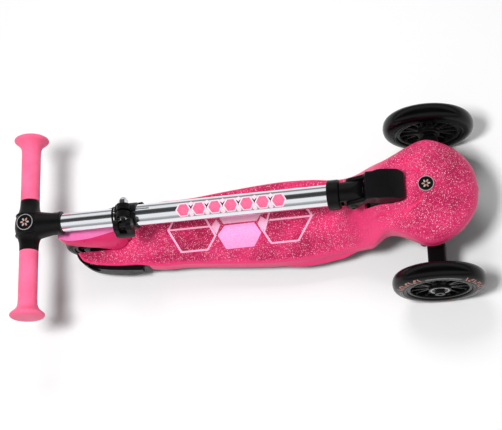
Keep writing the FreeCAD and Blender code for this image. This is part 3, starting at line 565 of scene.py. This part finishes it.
def top_height(x, y):
    """Top surface with its crease, its pocket and its rounded rim, and the glitter value."""
    z = crown(x, y)
    slope = np.hypot(crown(x + 0.5, y) - crown(x - 0.5, y), crown(x, y + 0.5) - crown(x, y - 0.5))
    valley, beside = crease(x, y)
    z = z - CREASE_DEPTH * valley - CREASE_STEP * beside
    floor = LEAN_Z + np.sqrt(np.maximum(POCKET_R ** 2 - y ** 2, 1.0))
    over = z - floor
    depth = 0.5 * (over + np.sqrt(over ** 2 + POCKET_SOFT ** 2)) * pocket_share(x, y, z)
    edge = distance_to_edge(x, y)
    radius = np.interp(x, *zip(*RIM_ROUND))
    inside = np.clip(radius - edge, 0, radius)
    z = z - depth - (radius - np.sqrt(radius ** 2 - inside ** 2))
    flat = 1 / np.sqrt(1 + slope ** 2)
    shaded = ease(depth, 3.0, 7.0) * ease(-x, 30, 50)
    sparkle = ease(edge, 0.0, 5.0) * ease(flat, 0.45, 0.85) * (1 - 0.7 * shaded) * (1 - 0.95 * valley)
    return z, sparkle


def skin_grid():
    """Rows of points from one side wall's foot over the top to the other's, with glitter values."""
    turns = np.linspace(0, math.pi, SKIN_ROWS)
    length = OUTLINE[-1][0] - OUTLINE[0][0]
    crowded, even = (1 - np.cos(turns)) / 2, turns / math.pi
    x = OUTLINE[0][0] + length * (ROW_CROWDING * crowded + (1 - ROW_CROWDING) * even)
    across = np.sin(np.linspace(-math.pi / 2, math.pi / 2, SKIN_COLUMNS))
    grid_x = np.repeat(x[:, None], SKIN_COLUMNS, 1)
    grid_y = half_width(grid_x) * across[None, :]
    z, sparkle = top_height(grid_x, grid_y)
    lower = np.interp(x, *zip(*LOWER_EDGE))
    flare = WALL_FLARE * ease(x, *FLARE_X[:2]) * (1 - ease(x, *FLARE_X[2:]))
    rows = []
    for row in range(SKIN_ROWS):
        walls = []
        for side, column in ((-1, 0), (1, SKIN_COLUMNS - 1)):
            wall = []
            for share in WALL_SHARES:
                out = side * flare[row] * share ** 3
                down = (lower[row] - z[row, column]) * share
                wall.append((x[row], grid_y[row, column] + out, z[row, column] + down, 0.0))
            walls.append(wall)
        top = [(x[row], grid_y[row, k], z[row, k], sparkle[row, k]) for k in range(SKIN_COLUMNS)]
        rows.append(walls[0][::-1] + top + walls[1])
    return rows


def cut_away(work, planes, inside):
    """Splits the mesh along planes, then deletes the faces whose middles lie inside."""
    for point, normal in planes:
        geometry = work.verts[:] + work.edges[:] + work.faces[:]
        bmesh.ops.bisect_plane(work, geom=geometry, plane_co=at(*point), plane_no=Vector(normal))
    gone = []
    for face in work.faces:
        centre = face.calc_center_median()
        if inside((centre.x - AXLE_X) / MM, centre.y / MM, centre.z / MM):
            gone.append(face)
    bmesh.ops.delete(work, geom=gone, context="FACES")


# slot for the rear wheel: flat for a nose's half width at the front, then tapering back on both sides
SLOT_FRONT_X = -411.5
SLOT_HALF = 17.5
SLOT_NOSE = 6.0
SLOT_TAPER = 1.6
SLOT_LOW_Z = 40.0
# slot for the steering block's neck, its half width at the lean axis and how much it widens upwards
NECK_X = (-84.5, -43.0)
NECK_HALF = 10.0
NECK_SLOPE = 12 / 66


def in_slots(x, y, z):
    """Whether a point lies in the wheel's slot or in the neck's."""
    front = SLOT_FRONT_X - SLOT_TAPER * max(abs(y) - SLOT_NOSE, 0)
    wheel = x < front and abs(y) < SLOT_HALF and z > SLOT_LOW_Z
    neck = NECK_X[0] < x < NECK_X[1] and abs(y) < NECK_HALF + NECK_SLOPE * (z - LEAN_Z)
    return wheel or neck


def set_glitter(mesh, values):
    """Stores how much of the glitter shows at each point of a mesh."""
    attribute = mesh.attributes.new("glitter", "FLOAT", "POINT")
    attribute.data.foreach_set("value", values)


def pink_skins():
    """Deck skin and nose hood, cut from one surface and parted at the seam."""
    rows = skin_grid()
    points = [at(*p[:3]) for row in rows for p in row]
    glitter_values = [p[3] for row in rows for p in row]
    faces = grid_faces(len(rows), len(rows[0]))
    for name, node, keep in (("deck_skin", "deck_shell", -1), ("hood_skin", "nose_hood", 1)):
        mesh = mesh_from(name, points, faces)
        set_glitter(mesh, glitter_values)
        work = bmesh.new()
        work.from_mesh(mesh)
        bmesh.ops.remove_doubles(work, verts=work.verts, dist=2e-5)
        seam = SEAM_X + keep * SEAM_GAP
        planes = [((seam, 0, 0), (1, 0, 0)), ((NECK_X[1], 0, 0), (1, 0, 0))]
        planes += [((0, side * NECK_HALF, LEAN_Z), (0, side, -NECK_SLOPE)) for side in (1, -1)]
        planes.append(((SLOT_FRONT_X, 0, 0), (1, 0, 0)))
        for side in (1, -1):
            planes.append(((0, side * SLOT_HALF, 0), (0, 1, 0)))
            planes.append(((SLOT_FRONT_X, side * SLOT_NOSE, 0), (1, side * SLOT_TAPER, 0)))
        cut_away(work, planes, lambda x, y, z: in_slots(x, y, z) or (x - seam) * keep < 0)
        loose = [v for v in work.verts if not v.link_faces]
        bmesh.ops.delete(work, geom=loose, context="VERTS")
        bmesh.ops.dissolve_degenerate(work, dist=1e-6, edges=work.edges[:])
        bmesh.ops.recalc_face_normals(work, faces=work.faces)
        if sum(f.normal.z for f in work.faces) < 0:
            bmesh.ops.reverse_faces(work, faces=work.faces)
        work.to_mesh(mesh)
        work.free()
        thicken(piece(name, mesh, "deck", "deck_pink", node), SKIN_WALL, 35.0)


# ---------------------------------------------------------------- printed marks

def inset(loop, amount):
    """Closed loop of (x, y) points moved inwards by an amount."""
    moved = []
    count = len(loop)
    area = sum(ax * by - bx * ay for (ax, ay), (bx, by) in zip(loop, loop[1:] + loop[:1]))
    turn = 1 if area > 0 else -1
    for index in range(count):
        before, here, after = (Vector(loop[(index + k) % count]) for k in (-1, 0, 1))
        first = (here - before).normalized()
        second = (after - here).normalized()
        normal_a = Vector((-first.y, first.x)) * turn
        normal_b = Vector((-second.y, second.x)) * turn
        corner = (normal_a + normal_b).normalized()
        moved.append(tuple(here + corner * (amount / max(corner.dot(normal_a), 0.4))))
    return moved


# heights of printed marks above the deck, and the step up to a mark that lies on another
MARK_LIFT = 0.03
FRAME_LIFT = 0.06
LAYER_STEP = 0.05
MARK_THICK = 0.12
BAND_WIDTH = 2.6
BAR_HALF = 1.3


def deck_mark(name, loop, material, layer=0):
    """Solid printed shape on the deck."""
    lift = DECK_Z + MARK_LIFT + layer * LAYER_STEP
    mesh = plate(name, [at(x, y, lift) for x, y in loop], MARK_THICK * MM, (0, 0, 1))
    if material == "deep_print":
        set_glitter(mesh, [1.0] * len(mesh.vertices))
    piece(name, mesh, "deck", material)


def deck_frame(name, loop):
    """Printed outline on the deck that follows a closed loop."""
    outer, inner = ([at(x, y, 0).xy for x, y in edge] for edge in (loop, inset(loop, BAND_WIDTH)))
    low, high = (DECK_Z + FRAME_LIFT) * MM, (DECK_Z + FRAME_LIFT + MARK_THICK) * MM
    piece(name, band(name, outer, inner, low, high), "deck", "pale_print")


def honeycomb():
    """Row of outlined and filled hexagons and diamonds across the deck."""
    left_cell = [(-362, 2), (-343, -32), (-305, -32), (-293.3, -12), (-301, 2.4), (-306, 12),
                 (-324, 36), (-343, 36)]
    right_cell = [(-229.4, -14), (-219, -31.5), (-180.9, -31.5), (-161, 3), (-181, 37), (-205, 37),
                  (-222, 12)]
    for name, loop in (("left_cell", left_cell), ("right_cell", right_cell)):
        deck_mark(name + "_fill", inset(loop, 1.5), "deep_print")
        deck_frame(name, loop)
    for name, start, end, y in (("left_bar", -359, -302, 2.0), ("right_bar", -220.3, -164.1, 2.6)):
        loop = [(start, y - BAR_HALF), (end, y - BAR_HALF), (end, y + BAR_HALF), (start, y + BAR_HALF)]
        deck_mark(name, loop, "pale_print", 1)
    centre = [(-291.7, -12), (-280.2, -32.6), (-241.7, -32.4), (-231.8, -14), (-241.5, 1.7), (-281.9, 1.0)]
    upper = [(-283.4, 3.6), (-237.5, 3.7), (-228, 18), (-238, 36), (-282, 36), (-292, 18)]
    left_diamond = [(-293.6, 11.2), (-287.9, 2.4), (-293.3, -10.2), (-300.2, 1.5)]
    right_diamond = [(-230.2, -13), (-236.4, -1), (-232, 9.5), (-222.4, 2.1)]
    deck_mark("centre_cell", centre, "lilac_print")
    deck_mark("upper_cell", upper, "pale_print")
    deck_mark("left_diamond", left_diamond, "pale_print", 1)
    deck_mark("right_diamond", right_diamond, "pale_print", 1)


TUBE_WALL = 1.2
TUBE_SEGMENTS = 143
# the slit's closed end and half width, the rings of points from there on, and the tube's foot
SLIT_END_X = -362.0
SLIT_HALF = 1.0
STATION_STEP = 20
STATIONS = 12
FOOT_X = -112.3
# turns about the tube in degrees: the slit's from straight up to the far side, the print's to the near
SLIT_TURN = 16.0
PRINT_TURN = 16.0


def tube_skin():
    """Lower tube of the column with the slit at its clamped end."""
    radius = TUBE_R * MM
    slit = math.degrees(SLIT_HALF / TUBE_R)
    step = (360 - 2 * slit) / TUBE_SEGMENTS
    turns = [SLIT_TURN + slit + step * k for k in range(TUBE_SEGMENTS + 1)]
    turns.append(SLIT_TURN + 360 - slit / 3)
    stations = [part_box("outer_tube")[0].x]
    stations += [at(SLIT_END_X + STATION_STEP * k, 0, 0).x for k in range(STATIONS)]
    stations.append(at(FOOT_X, 0, 0).x)
    points = []
    for x in stations:
        for turn in turns:
            angle = math.radians(turn)
            points.append((x, TUBE.y + radius * math.sin(angle), TUBE.z + radius * math.cos(angle)))
    count = len(turns)
    bridge = count - 2
    faces = []
    for row in range(len(stations) - 1):
        # the last two columns bridge the slit, so the first row goes without them
        for index in range(bridge if row == 0 else count):
            here = row * count + index
            after = row * count + (index + 1) % count
            faces.append((here, after, after + count, here + count))
    mesh = mesh_from("tube_skin", points, faces)
    outwards = sum(f.normal.dot(f.center - Vector((f.center.x, TUBE.y, TUBE.z))) for f in mesh.polygons)
    if outwards < 0:
        mesh.flip_normals()
    thicken(piece("tube_skin", mesh, "column", "polished_tube", "outer_tube"), TUBE_WALL, 40.0)


def on_tube(x, arc, lift):
    """Point on the lower tube's surface; arc is measured round it from the print's middle line."""
    radius = (TUBE_R + lift) * MM
    angle = math.radians(PRINT_TURN) + arc / TUBE_R
    return Vector((AXLE_X + x * MM, TUBE.y - radius * math.sin(angle), TUBE.z + radius * math.cos(angle)))


# thickness of a print, rings of points from its middle to its edge, and points on each of its sides
PRINT_THICK = 0.05
PRINT_RINGS = 7
PRINT_STEPS = 5


def wrapped(name, loop, lift, material):
    """Printed shape that follows the tube's curve, closed by an inner face."""
    centre = (sum(x for x, _ in loop) / len(loop), sum(arc for _, arc in loop) / len(loop))
    dense = []
    for (x, arc), (next_x, next_arc) in zip(loop, loop[1:] + loop[:1]):
        for step in range(PRINT_STEPS):
            share = step / PRINT_STEPS
            dense.append((x + (next_x - x) * share, arc + (next_arc - arc) * share))
    count = len(dense)
    points = []
    for level in (lift, lift - PRINT_THICK):
        points.append(on_tube(*centre, level))
        for ring in range(1, PRINT_RINGS + 1):
            share = ring / PRINT_RINGS
            for x, arc in dense:
                spot = (centre[0] + (x - centre[0]) * share, centre[1] + (arc - centre[1]) * share)
                points.append(on_tube(*spot, level))
    layer = 1 + PRINT_RINGS * count
    faces = []
    for base in (0, layer):
        for index in range(count):
            after = (index + 1) % count
            faces.append((base, base + 1 + index, base + 1 + after))
            for ring in range(PRINT_RINGS - 1):
                a = base + 1 + ring * count
                faces.append((a + index, a + count + index, a + count + after, a + after))
    rim = 1 + (PRINT_RINGS - 1) * count
    for index in range(count):
        after = (index + 1) % count
        faces.append((rim + index, layer + rim + index, layer + rim + after, rim + after))
    piece(name, outward(mesh_from(name, points, faces)), "column", material)


HEXAGONS = 7
HEXAGON_X = (-316.0, -190.0)
# radius along the tube and round it, and the share of it that is filled
HEXAGON_SIZE = (10.2, 10.6)
HEXAGON_INNER = 0.82


def tube_print():
    """Row of plain shapes printed along the lower tube: hexagons with diamonds between them."""
    pitch = (HEXAGON_X[1] - HEXAGON_X[0]) / (HEXAGONS - 1)
    corners = [(math.cos(math.pi / 3 * k), math.sin(math.pi / 3 * k)) for k in range(6)]
    for number in range(HEXAGONS):
        x = HEXAGON_X[0] + pitch * number
        edge = [(x + HEXAGON_SIZE[0] * px, HEXAGON_SIZE[1] * py) for px, py in corners]
        inner = [(x + (px - x) * HEXAGON_INNER, arc * HEXAGON_INNER) for px, arc in edge]
        wrapped(f"tube_hexagon_edge_{number}", edge, 0.10, "tube_edge")
        wrapped(f"tube_hexagon_{number}", inner, 0.16, "tube_print")
        if number < HEXAGONS - 1:
            middle_x = x + pitch / 2
            for place, side in (("near", 1), ("far", -1)):
                loop = [(middle_x - 3.2, side * 7.6), (middle_x, side * 3.2),
                        (middle_x + 3.2, side * 7.6), (middle_x, side * 11.4)]
                wrapped(f"tube_diamond_{number}_{place}", loop, 0.12, "tube_edge")


# ---------------------------------------------------------------- rear fender brake

# (x, z) along the top from the foot to the tail, and along the lower rim with its half width
FENDER_TOP = ((-415, 52.5), (-419, 66), (-429, 81), (-445, 92), (-465, 98), (-484, 99), (-501, 96))
FENDER_RIM = ((-434, 54, 19.5), (-450, 72, 21.2), (-470, 84, 21.5), (-490, 90, 18.5), (-502.5, 91.5, 9.5))
# plateau half width, as a share of the rim's, from the foot to the tail
PLATEAU = ((0.0, 0.02), (0.30, 0.03), (0.42, 0.22), (0.58, 0.50), (0.78, 0.76), (1.0, 0.86))
FENDER_WALL = 2.6
# rows along the fender, and columns over half the plateau and over one flank
FENDER_STEPS = 72
FENDER_FLAT = 10
FENDER_FLANK = 16
WEB_HALF = 6


def fender_point(top, rim, level, share):
    """Point on one side of the fender: share runs from the middle line to the rim."""
    angle = share * math.pi / 2
    x = top[0] + (rim[0] - top[0]) * (1 - math.cos(angle)) ** 1.2
    y = rim[2] * math.sin(angle)
    fall = max(share - level, 0) / (1 - level)
    z = top[1] + (rim[1] - top[1]) * fall ** 1.25
    return x, y, z


def fender():
    """Foot brake: a flat plateau with sloping flanks that fall to a thin rim."""
    steps, flat, flank = FENDER_STEPS, FENDER_FLAT, FENDER_FLANK
    across = flat + flank
    width = 2 * across + 1
    top = spline(FENDER_TOP, steps)
    rim = spline(FENDER_RIM, steps)
    points = []
    for row in range(steps):
        level = float(np.interp(row / (steps - 1), *zip(*PLATEAU)))
        for column in range(-across, across + 1):
            count = abs(column)
            share = level * count / flat
            if count > flat:
                share = level + (1 - level) * (count - flat) / flank
            x, y, z = fender_point(top[row], rim[row], level, share)
            points.append(at(x, y if column > 0 else -y, z))
    mesh = mesh_from("fender_shell", points, grid_faces(steps, width))
    obj = piece("fender_shell", mesh, "brake", "fender_pink", "brake_fender")
    # Second slot: the plateau's lighter pink, a painted reflection of the lights on its flat top.
    mesh.materials.append(MATERIALS["fender_top_painted_sheen"])
    for face in mesh.polygons:
        row, column = divmod(face.index, width - 1)
        on_plateau = flank <= column < flank + 2 * flat and row > 0.3 * steps
        face.material_index = 1 if on_plateau else 0
    if sum(f.normal.z for f in mesh.polygons) < 0:
        mesh.flip_normals()
    thicken(obj, FENDER_WALL, 30.0)


def fender_hinge():
    """Web that carries the fender on its pin, and the rib that holds the wear plate."""
    web = [(-417, 60), (-414.5, 58), (-412.6, 51), (-412.6, 45.5), (-404.8, 38), (-406, 34),
           (-410, 32.5), (-414, 34), (-415.2, 38), (-421.5, 62)]
    rib = [(-492, 88.1), (-468, 88.1), (-468, 94.5), (-480, 96.2), (-492, 95.2)]
    for name, outline, bevel in (("fender_web", web, 0.6), ("fender_rib", rib, 0.5)):
        loop = [at(x, -WEB_HALF, z) for x, z in outline]
        piece(name, plate(name, loop, 2 * WEB_HALF * MM, (0, 1, 0), bevel * MM), "brake", "fender_pink")


# ---------------------------------------------------------------- wheels

# (share of the half width, share of the way from the rim out to the tread), from the tread to the rim
TYRE_SIDE = (
    (0.0, 1.0), (0.28, 0.978), (0.50, 0.935), (0.68, 0.86), (0.81, 0.76), (0.90, 0.64), (0.955, 0.50),
    (0.98, 0.36), (0.988, 0.27), (0.95, 0.25), (0.992, 0.22), (1.0, 0.16), (0.97, 0.08), (0.9, 0.02),
)
# marks round a front tyre, in degrees: start of each group, pitch and lean of its marks, breadth of
# a dash and of a block, and start and end of the fine lines that follow the group
MARK_GROUPS = (-6, 112, 234)
MARKS = 7
MARK_PITCH = 8.0
MARK_LEAN = 2.4
DASH_TURN = 2.2
BLOCK_TURN = 4.2
LINE_TURNS = (58, 112)
# the marks' height, as shares of the way from the rim out to the tread
MARK_SHARES = (0.34, 0.72)
# a mark reaches from inside the side wall to just outside it
MARK_DEPTHS = (-0.15, 0.1)


def tyre_profile(radius, inner, half):
    """Round tread with a shallow ridge and groove on each side wall."""
    side = [(half * y, inner + (radius - inner) * r) for y, r in TYRE_SIDE]
    return [(-y, r) for y, r in reversed(side[1:])] + side


def wheel(prefix, inner):
    """Tyre and spoked core of one wheel."""
    node = prefix + "_tyre"
    profile = tyre_profile(half_height(node), inner, half_breadth(node))
    mesh = turned(node + "_skin", profile, middle(node), 128)
    piece(node + "_skin", mesh, prefix + "_wheel", "black_tyre", node, 28.0)
    moulded_copy(prefix + "_core_skin", prefix + "_wheel_core", "black_core", 0.75, 6)
    darken(prefix + "_bearings")


def bent_mark(name, spot, radii, turns, lean):
    """Mesh of a thin plate on a side wall, between two radii and two turns, leaning by an angle."""
    low, high = radii
    start, end = (math.radians(turn) for turn in turns)
    rows, columns = 6, max(3, int((end - start) / 0.05))
    points = []
    for lift in MARK_DEPTHS:
        for row in range(rows + 1):
            share = row / rows
            for column in range(columns + 1):
                angle = start + (end - start) * column / columns + lean * share
                points.append(spot(angle, low + (high - low) * share, lift))
    wide = columns + 1
    layer = wide * (rows + 1)
    faces = grid_faces(rows + 1, wide) + grid_faces(rows + 1, wide, layer)
    ring = list(range(columns)) + [row * wide + columns for row in range(rows)]
    ring += [rows * wide + column for column in range(columns, 0, -1)]
    ring += [row * wide for row in range(rows, 0, -1)]
    for first, following in zip(ring, ring[1:] + ring[:1]):
        faces.append((first, following, layer + following, layer + first))
    return outward(mesh_from(name, points, faces))


def tyre_marks(prefix, side):
    """Plain dashes, split blocks and fine lines printed round a front tyre's outer side."""
    node = prefix + "_tyre"
    centre = middle(node)
    radius, inner = half_height(node), FRONT_TYRE_INNER
    wall = sorted((r, y) for y, r in tyre_profile(radius, inner, half_breadth(node)) if y > 0)
    wall_r, wall_y = zip(*wall)

    def spot(angle, r, lift):
        out = side * (np.interp(r, wall_r, wall_y) + lift)
        return centre + Vector((r * math.cos(angle), out, r * math.sin(angle))) * MM

    def mark(suffix, low, high, start, end, lean=0.0, material="rose_print"):
        name = f"{prefix}_tyre_{suffix}"
        mesh = bent_mark(name, spot, (low, high), (start, end), math.radians(lean))
        piece(name, mesh, prefix + "_wheel", material)

    low_r, high_r = (inner + share * (radius - inner) for share in MARK_SHARES)
    centre_r = (low_r + high_r) / 2
    for group, first in enumerate(MARK_GROUPS):
        for index in range(MARKS):
            start = first + MARK_PITCH * index
            suffix = f"mark_{group}_{index}"
            if index % 2:
                mark(suffix + "_low", low_r, centre_r - 0.5, start, start + BLOCK_TURN, MARK_LEAN)
                mark(suffix + "_high", centre_r + 0.5, high_r, start, start + BLOCK_TURN, -MARK_LEAN)
            else:
                mark(suffix, low_r, high_r, start, start + DASH_TURN, MARK_LEAN)
        start, end = (first + turn for turn in LINE_TURNS)
        for line, r in enumerate((low_r, low_r + 2.2)):
            mark(f"line_{group}_{line}", r, r + 0.7, start, end, material="silver_print")


def hub_trim(prefix, side):
    """Bright ring round a front wheel's bearing."""
    node = prefix + "_tyre"
    half = half_breadth(node)
    profile = [(half - 0.9, 10.7), (half - 0.1, 10.9), (half + 0.1, 11.4), (half + 0.05, 11.8),
               (half - 0.3, 12.2), (half - 0.9, 12.4)]
    mesh = turned(prefix + "_hub_ring", profile, middle(node), 72, side)
    piece(prefix + "_hub_ring", mesh, prefix + "_wheel", "chrome_bolt")
    darken(prefix + "_axle_bolt")


# ---------------------------------------------------------------- handlebar

GRIP_START = 35.3
GRIP_R = 12.8
BAR_R = 9.52
BAR_CENTRE = middle("crossbar") * Vector((1, 0, 1))
BADGE_SEGMENTS = 72
# one petal of the rosette, as shares of the badge's radius
PETAL = ((0.12, 0), (0.28, -0.12), (0.48, -0.10), (0.58, 0), (0.48, 0.10), (0.28, 0.12))


def grip(prefix, side):
    """Soft grip with a faint ring at its inner end and a wide rounded flange."""
    node = prefix + "_grip"
    low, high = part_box(node)
    end = max(abs(low.y), abs(high.y)) / MM
    flange = half_height(node)
    profile = [(GRIP_START, BAR_R), (GRIP_START, GRIP_R - 0.6), (GRIP_START + 0.6, GRIP_R - 0.1),
               (GRIP_START + 3, GRIP_R), (GRIP_START + 3.6, GRIP_R - 0.35), (GRIP_START + 4.2, GRIP_R),
               (58, GRIP_R - 0.15), (80, GRIP_R), (end - 26, GRIP_R), (end - 19, GRIP_R + 0.35),
               (end - 15, GRIP_R + 1.5), (end - 12, GRIP_R + 3.4), (end - 9.4, GRIP_R + 6.2),
               (end - 7.6, flange - 2.2), (end - 6.2, flange - 0.7), (end - 4.8, flange - 0.05),
               (end - 3.6, flange - 0.15), (end - 2.3, flange - 1.1), (end - 1.1, flange - 3.0),
               (end - 0.4, flange - 5.6), (end - 0.1, flange - 9), (end, 6.0), (end, 0.01),
               (end - 4.8, 0.01), (end - 4.8, BAR_R)]
    mesh = turned(node + "_skin", profile, BAR_CENTRE, 96, side)
    piece(node + "_skin", mesh, "handlebar", "grip_rubber", node, 32.0)


def round_badge(name, node, body):
    """Black enamel disc with a bright rim and a plain six-petal rosette."""
    low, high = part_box(node)
    centre = (low + high) / 2
    radius = (high.x - low.x) / 2
    turns = [2 * math.pi * k / BADGE_SEGMENTS for k in range(BADGE_SEGMENTS)]

    def circle(r):
        return [(centre.x + r * math.cos(turn), centre.y + r * math.sin(turn)) for turn in turns]

    def disc(suffix, outer, inner, bottom, top, material, stands_for=None):
        mesh = band(name + suffix, circle(outer), circle(inner), bottom, top)
        piece(name + suffix, mesh, body, material, stands_for)

    face_z = high.z - 0.35 * MM
    disc("_face", radius * 0.985, radius * 0.02, low.z, face_z, "badge", node)
    disc("_rim", radius, radius * 0.93, low.z + 0.4 * MM, high.z - 0.02 * MM, "silver_print")
    for number in range(6):
        turn = Matrix.Rotation(math.pi / 3 * number, 3, "Z")
        foot = Vector((centre.x, centre.y, face_z))
        loop = [turn @ Vector((x * radius, y * radius, 0)) + foot for x, y in PETAL]
        mesh = plate(f"{name}_petal_{number}", rounded(loop), 0.18 * MM, (0, 0, 1))
        piece(f"{name}_petal_{number}", mesh, body, "rose_print" if number % 2 else "silver_print")


def joint_bands():
    """Raised bands where the crossbar enters the moulded joint."""
    profile = [(12.2, 16.2), (12.7, 18.2), (13.6, 18.7), (14.6, 18.2), (15.4, 16.0)]
    for prefix, side in SIDES.items():
        name = prefix + "_joint_band"
        piece(name, turned(name, profile, BAR_CENTRE, 96, side), "handlebar", "black_nylon")


# ---------------------------------------------------------------- assembly

# (CAD node, size of the remeshing cell, passes of smoothing)
MOULDED = (
    ("t_joint", 0.8, 9), ("steering_block", 0.8, 8), ("clamp_collar", 0.55, 5), ("clamp_lever", 0.5, 6),
    ("release_collar", 0.6, 4), ("column_sleeve", 0.7, 4), ("left_knuckle", 0.6, 5),
    ("right_knuckle", 0.6, 5),
)
# metal nodes that are black on the real scooter
BLACKENED = ("kingpins", "kingpin_nuts", "rear_spacers", "rear_axle", "rear_axle_nut", "clamp_bolt",
             "lever_barrel", "cross_pin")


def moulded_parts():
    """Black moulded pieces that keep the CAD shape with softened corners."""
    for node, voxel, passes in MOULDED:
        moulded_copy(node + "_skin", node, "black_nylon", voxel, passes)


def carried_over():
    """Materials for the CAD nodes that stay as they are."""
    for name, node in NODES.items():
        for holder in node.material_slots:
            holder.material = MATERIALS[SLOT_OF[name]]
    darken(*BLACKENED)


def build():
    carried_over()
    pink_skins()
    honeycomb()
    tube_skin()
    tube_print()
    fender()
    fender_hinge()
    for prefix, side in SIDES.items():
        wheel(prefix, FRONT_TYRE_INNER)
        tyre_marks(prefix, side)
        hub_trim(prefix, side)
        grip(prefix, side)
    wheel("rear", REAR_TYRE_INNER)
    moulded_parts()
    joint_bands()
    round_badge("bar_emblem", "bar_badge", "handlebar")
    round_badge("nose_emblem", "nose_badge", "deck")


# ---------------------------------------------------------------- stage, light and camera

LIGHT_AIM = Vector((0.0, 0.0, 0.05))


def area_light(name, place, size, power):
    """Panel of light in metres and watts, aimed at the scooter and unseen in reflections."""
    light = bpy.data.lights.new(name, "AREA")
    light.shape = "RECTANGLE"
    light.size, light.size_y = size
    light.energy = power
    obj = bpy.data.objects.new(name, light)
    bpy.context.scene.collection.objects.link(obj)
    obj.location = place
    obj.rotation_euler = (LIGHT_AIM - Vector(place)).to_track_quat("-Z", "Y").to_euler()
    obj.visible_camera = False
    obj.visible_glossy = False


FLOOR_HALF = 6
WHITE = (1.0, 1.0, 1.0, 1.0)
AMBIENT = 0.24
# (turn about the scooter's length from its left horizon over the top to its right, grey level)
REFLECTED = ((0.0, 0.35), (0.07, 0.2), (0.14, 0.9), (0.29, 1.0), (0.33, 0.10), (0.46, 0.05), (0.58, 0.10),
             (0.62, 1.0), (0.80, 1.0), (0.88, 0.5), (1.0, 0.35))


def surroundings():
    """World: white to the eye, dim to matt surfaces, and bands of light and dark to glossy ones."""
    world = bpy.data.worlds.new("white_room")
    bpy.context.scene.world = world
    world.use_nodes = True
    nodes = NodeTree(world.node_tree)
    place = nodes.node("ShaderNodeTexCoord")
    split = nodes.node("ShaderNodeSeparateXYZ", Vector=place.outputs["Generated"])
    turn = nodes.math("ARCTAN2", split.outputs["Z"], split.outputs["Y"])
    bands = nodes.node("ShaderNodeValToRGB", Fac=nodes.ramp(turn, 0.0, math.pi))
    stops = bands.color_ramp.elements
    for _ in REFLECTED[2:]:
        stops.new(1.0)
    for stop, (position, grey) in zip(stops, REFLECTED):
        stop.position = position
        stop.color = (grey, grey, grey, 1)
    rays = nodes.node("ShaderNodeLightPath")
    dim = (AMBIENT, AMBIENT, AMBIENT, 1)
    colour = nodes.mix(rays.outputs["Is Glossy Ray"], dim, bands.outputs["Color"])
    colour = nodes.mix(rays.outputs["Is Camera Ray"], colour, WHITE)
    nodes.feed(world.node_tree.nodes["Background"].inputs["Color"], colour)


def studio():
    """Pale floor, a soft key above the near side, a wide panel beyond the far side."""
    corners = [(x * FLOOR_HALF, y * FLOOR_HALF, 0) for x, y in ((-1, -1), (1, -1), (1, 1), (-1, 1))]
    mesh = mesh_from("floor", corners, [(0, 1, 2, 3)])
    floor = bpy.data.objects.new("floor", mesh)
    mesh.materials.append(floor_paper("white_paper"))
    bpy.context.scene.collection.objects.link(floor)
    area_light("key", (-0.28, -0.50, 2.2), (0.42, 0.42), 40.0)
    area_light("overhead", (-0.05, 1.0, 2.0), (0.8, 0.6), 12.5)
    surroundings()
    bpy.context.scene.view_settings.view_transform = "Standard"


CAMERA_PLACE = (134.2, -651.8, 1835.4)
CAMERA_TURN = (29.736, 66.808, -33.473)
CAMERA_LENS = 103.69


def camera():
    """Camera high above the scooter's right side; yaw, pitch and roll are in degrees."""
    yaw, pitch, roll = (math.radians(value) for value in CAMERA_TURN)
    right = Vector((1, 0, 0))
    back = Vector((0, -math.cos(pitch), math.sin(pitch)))
    up = back.cross(right)
    turn = Matrix.Rotation(yaw, 3, "Z")
    right, back, up = turn @ right, turn @ back, turn @ up
    across = right * math.cos(roll) + up * math.sin(roll)
    upward = up * math.cos(roll) - right * math.sin(roll)
    data = bpy.data.cameras.new("camera")
    data.lens = CAMERA_LENS
    data.sensor_fit = "HORIZONTAL"
    data.sensor_width = 36.0
    data.clip_end = 20.0
    obj = bpy.data.objects.new("camera", data)
    bpy.context.scene.collection.objects.link(obj)
    facing = Matrix((across, upward, back)).transposed().to_4x4()
    obj.matrix_world = Matrix.Translation(at(*CAMERA_PLACE)) @ facing
    bpy.context.scene.camera = obj


build()
studio()
camera()
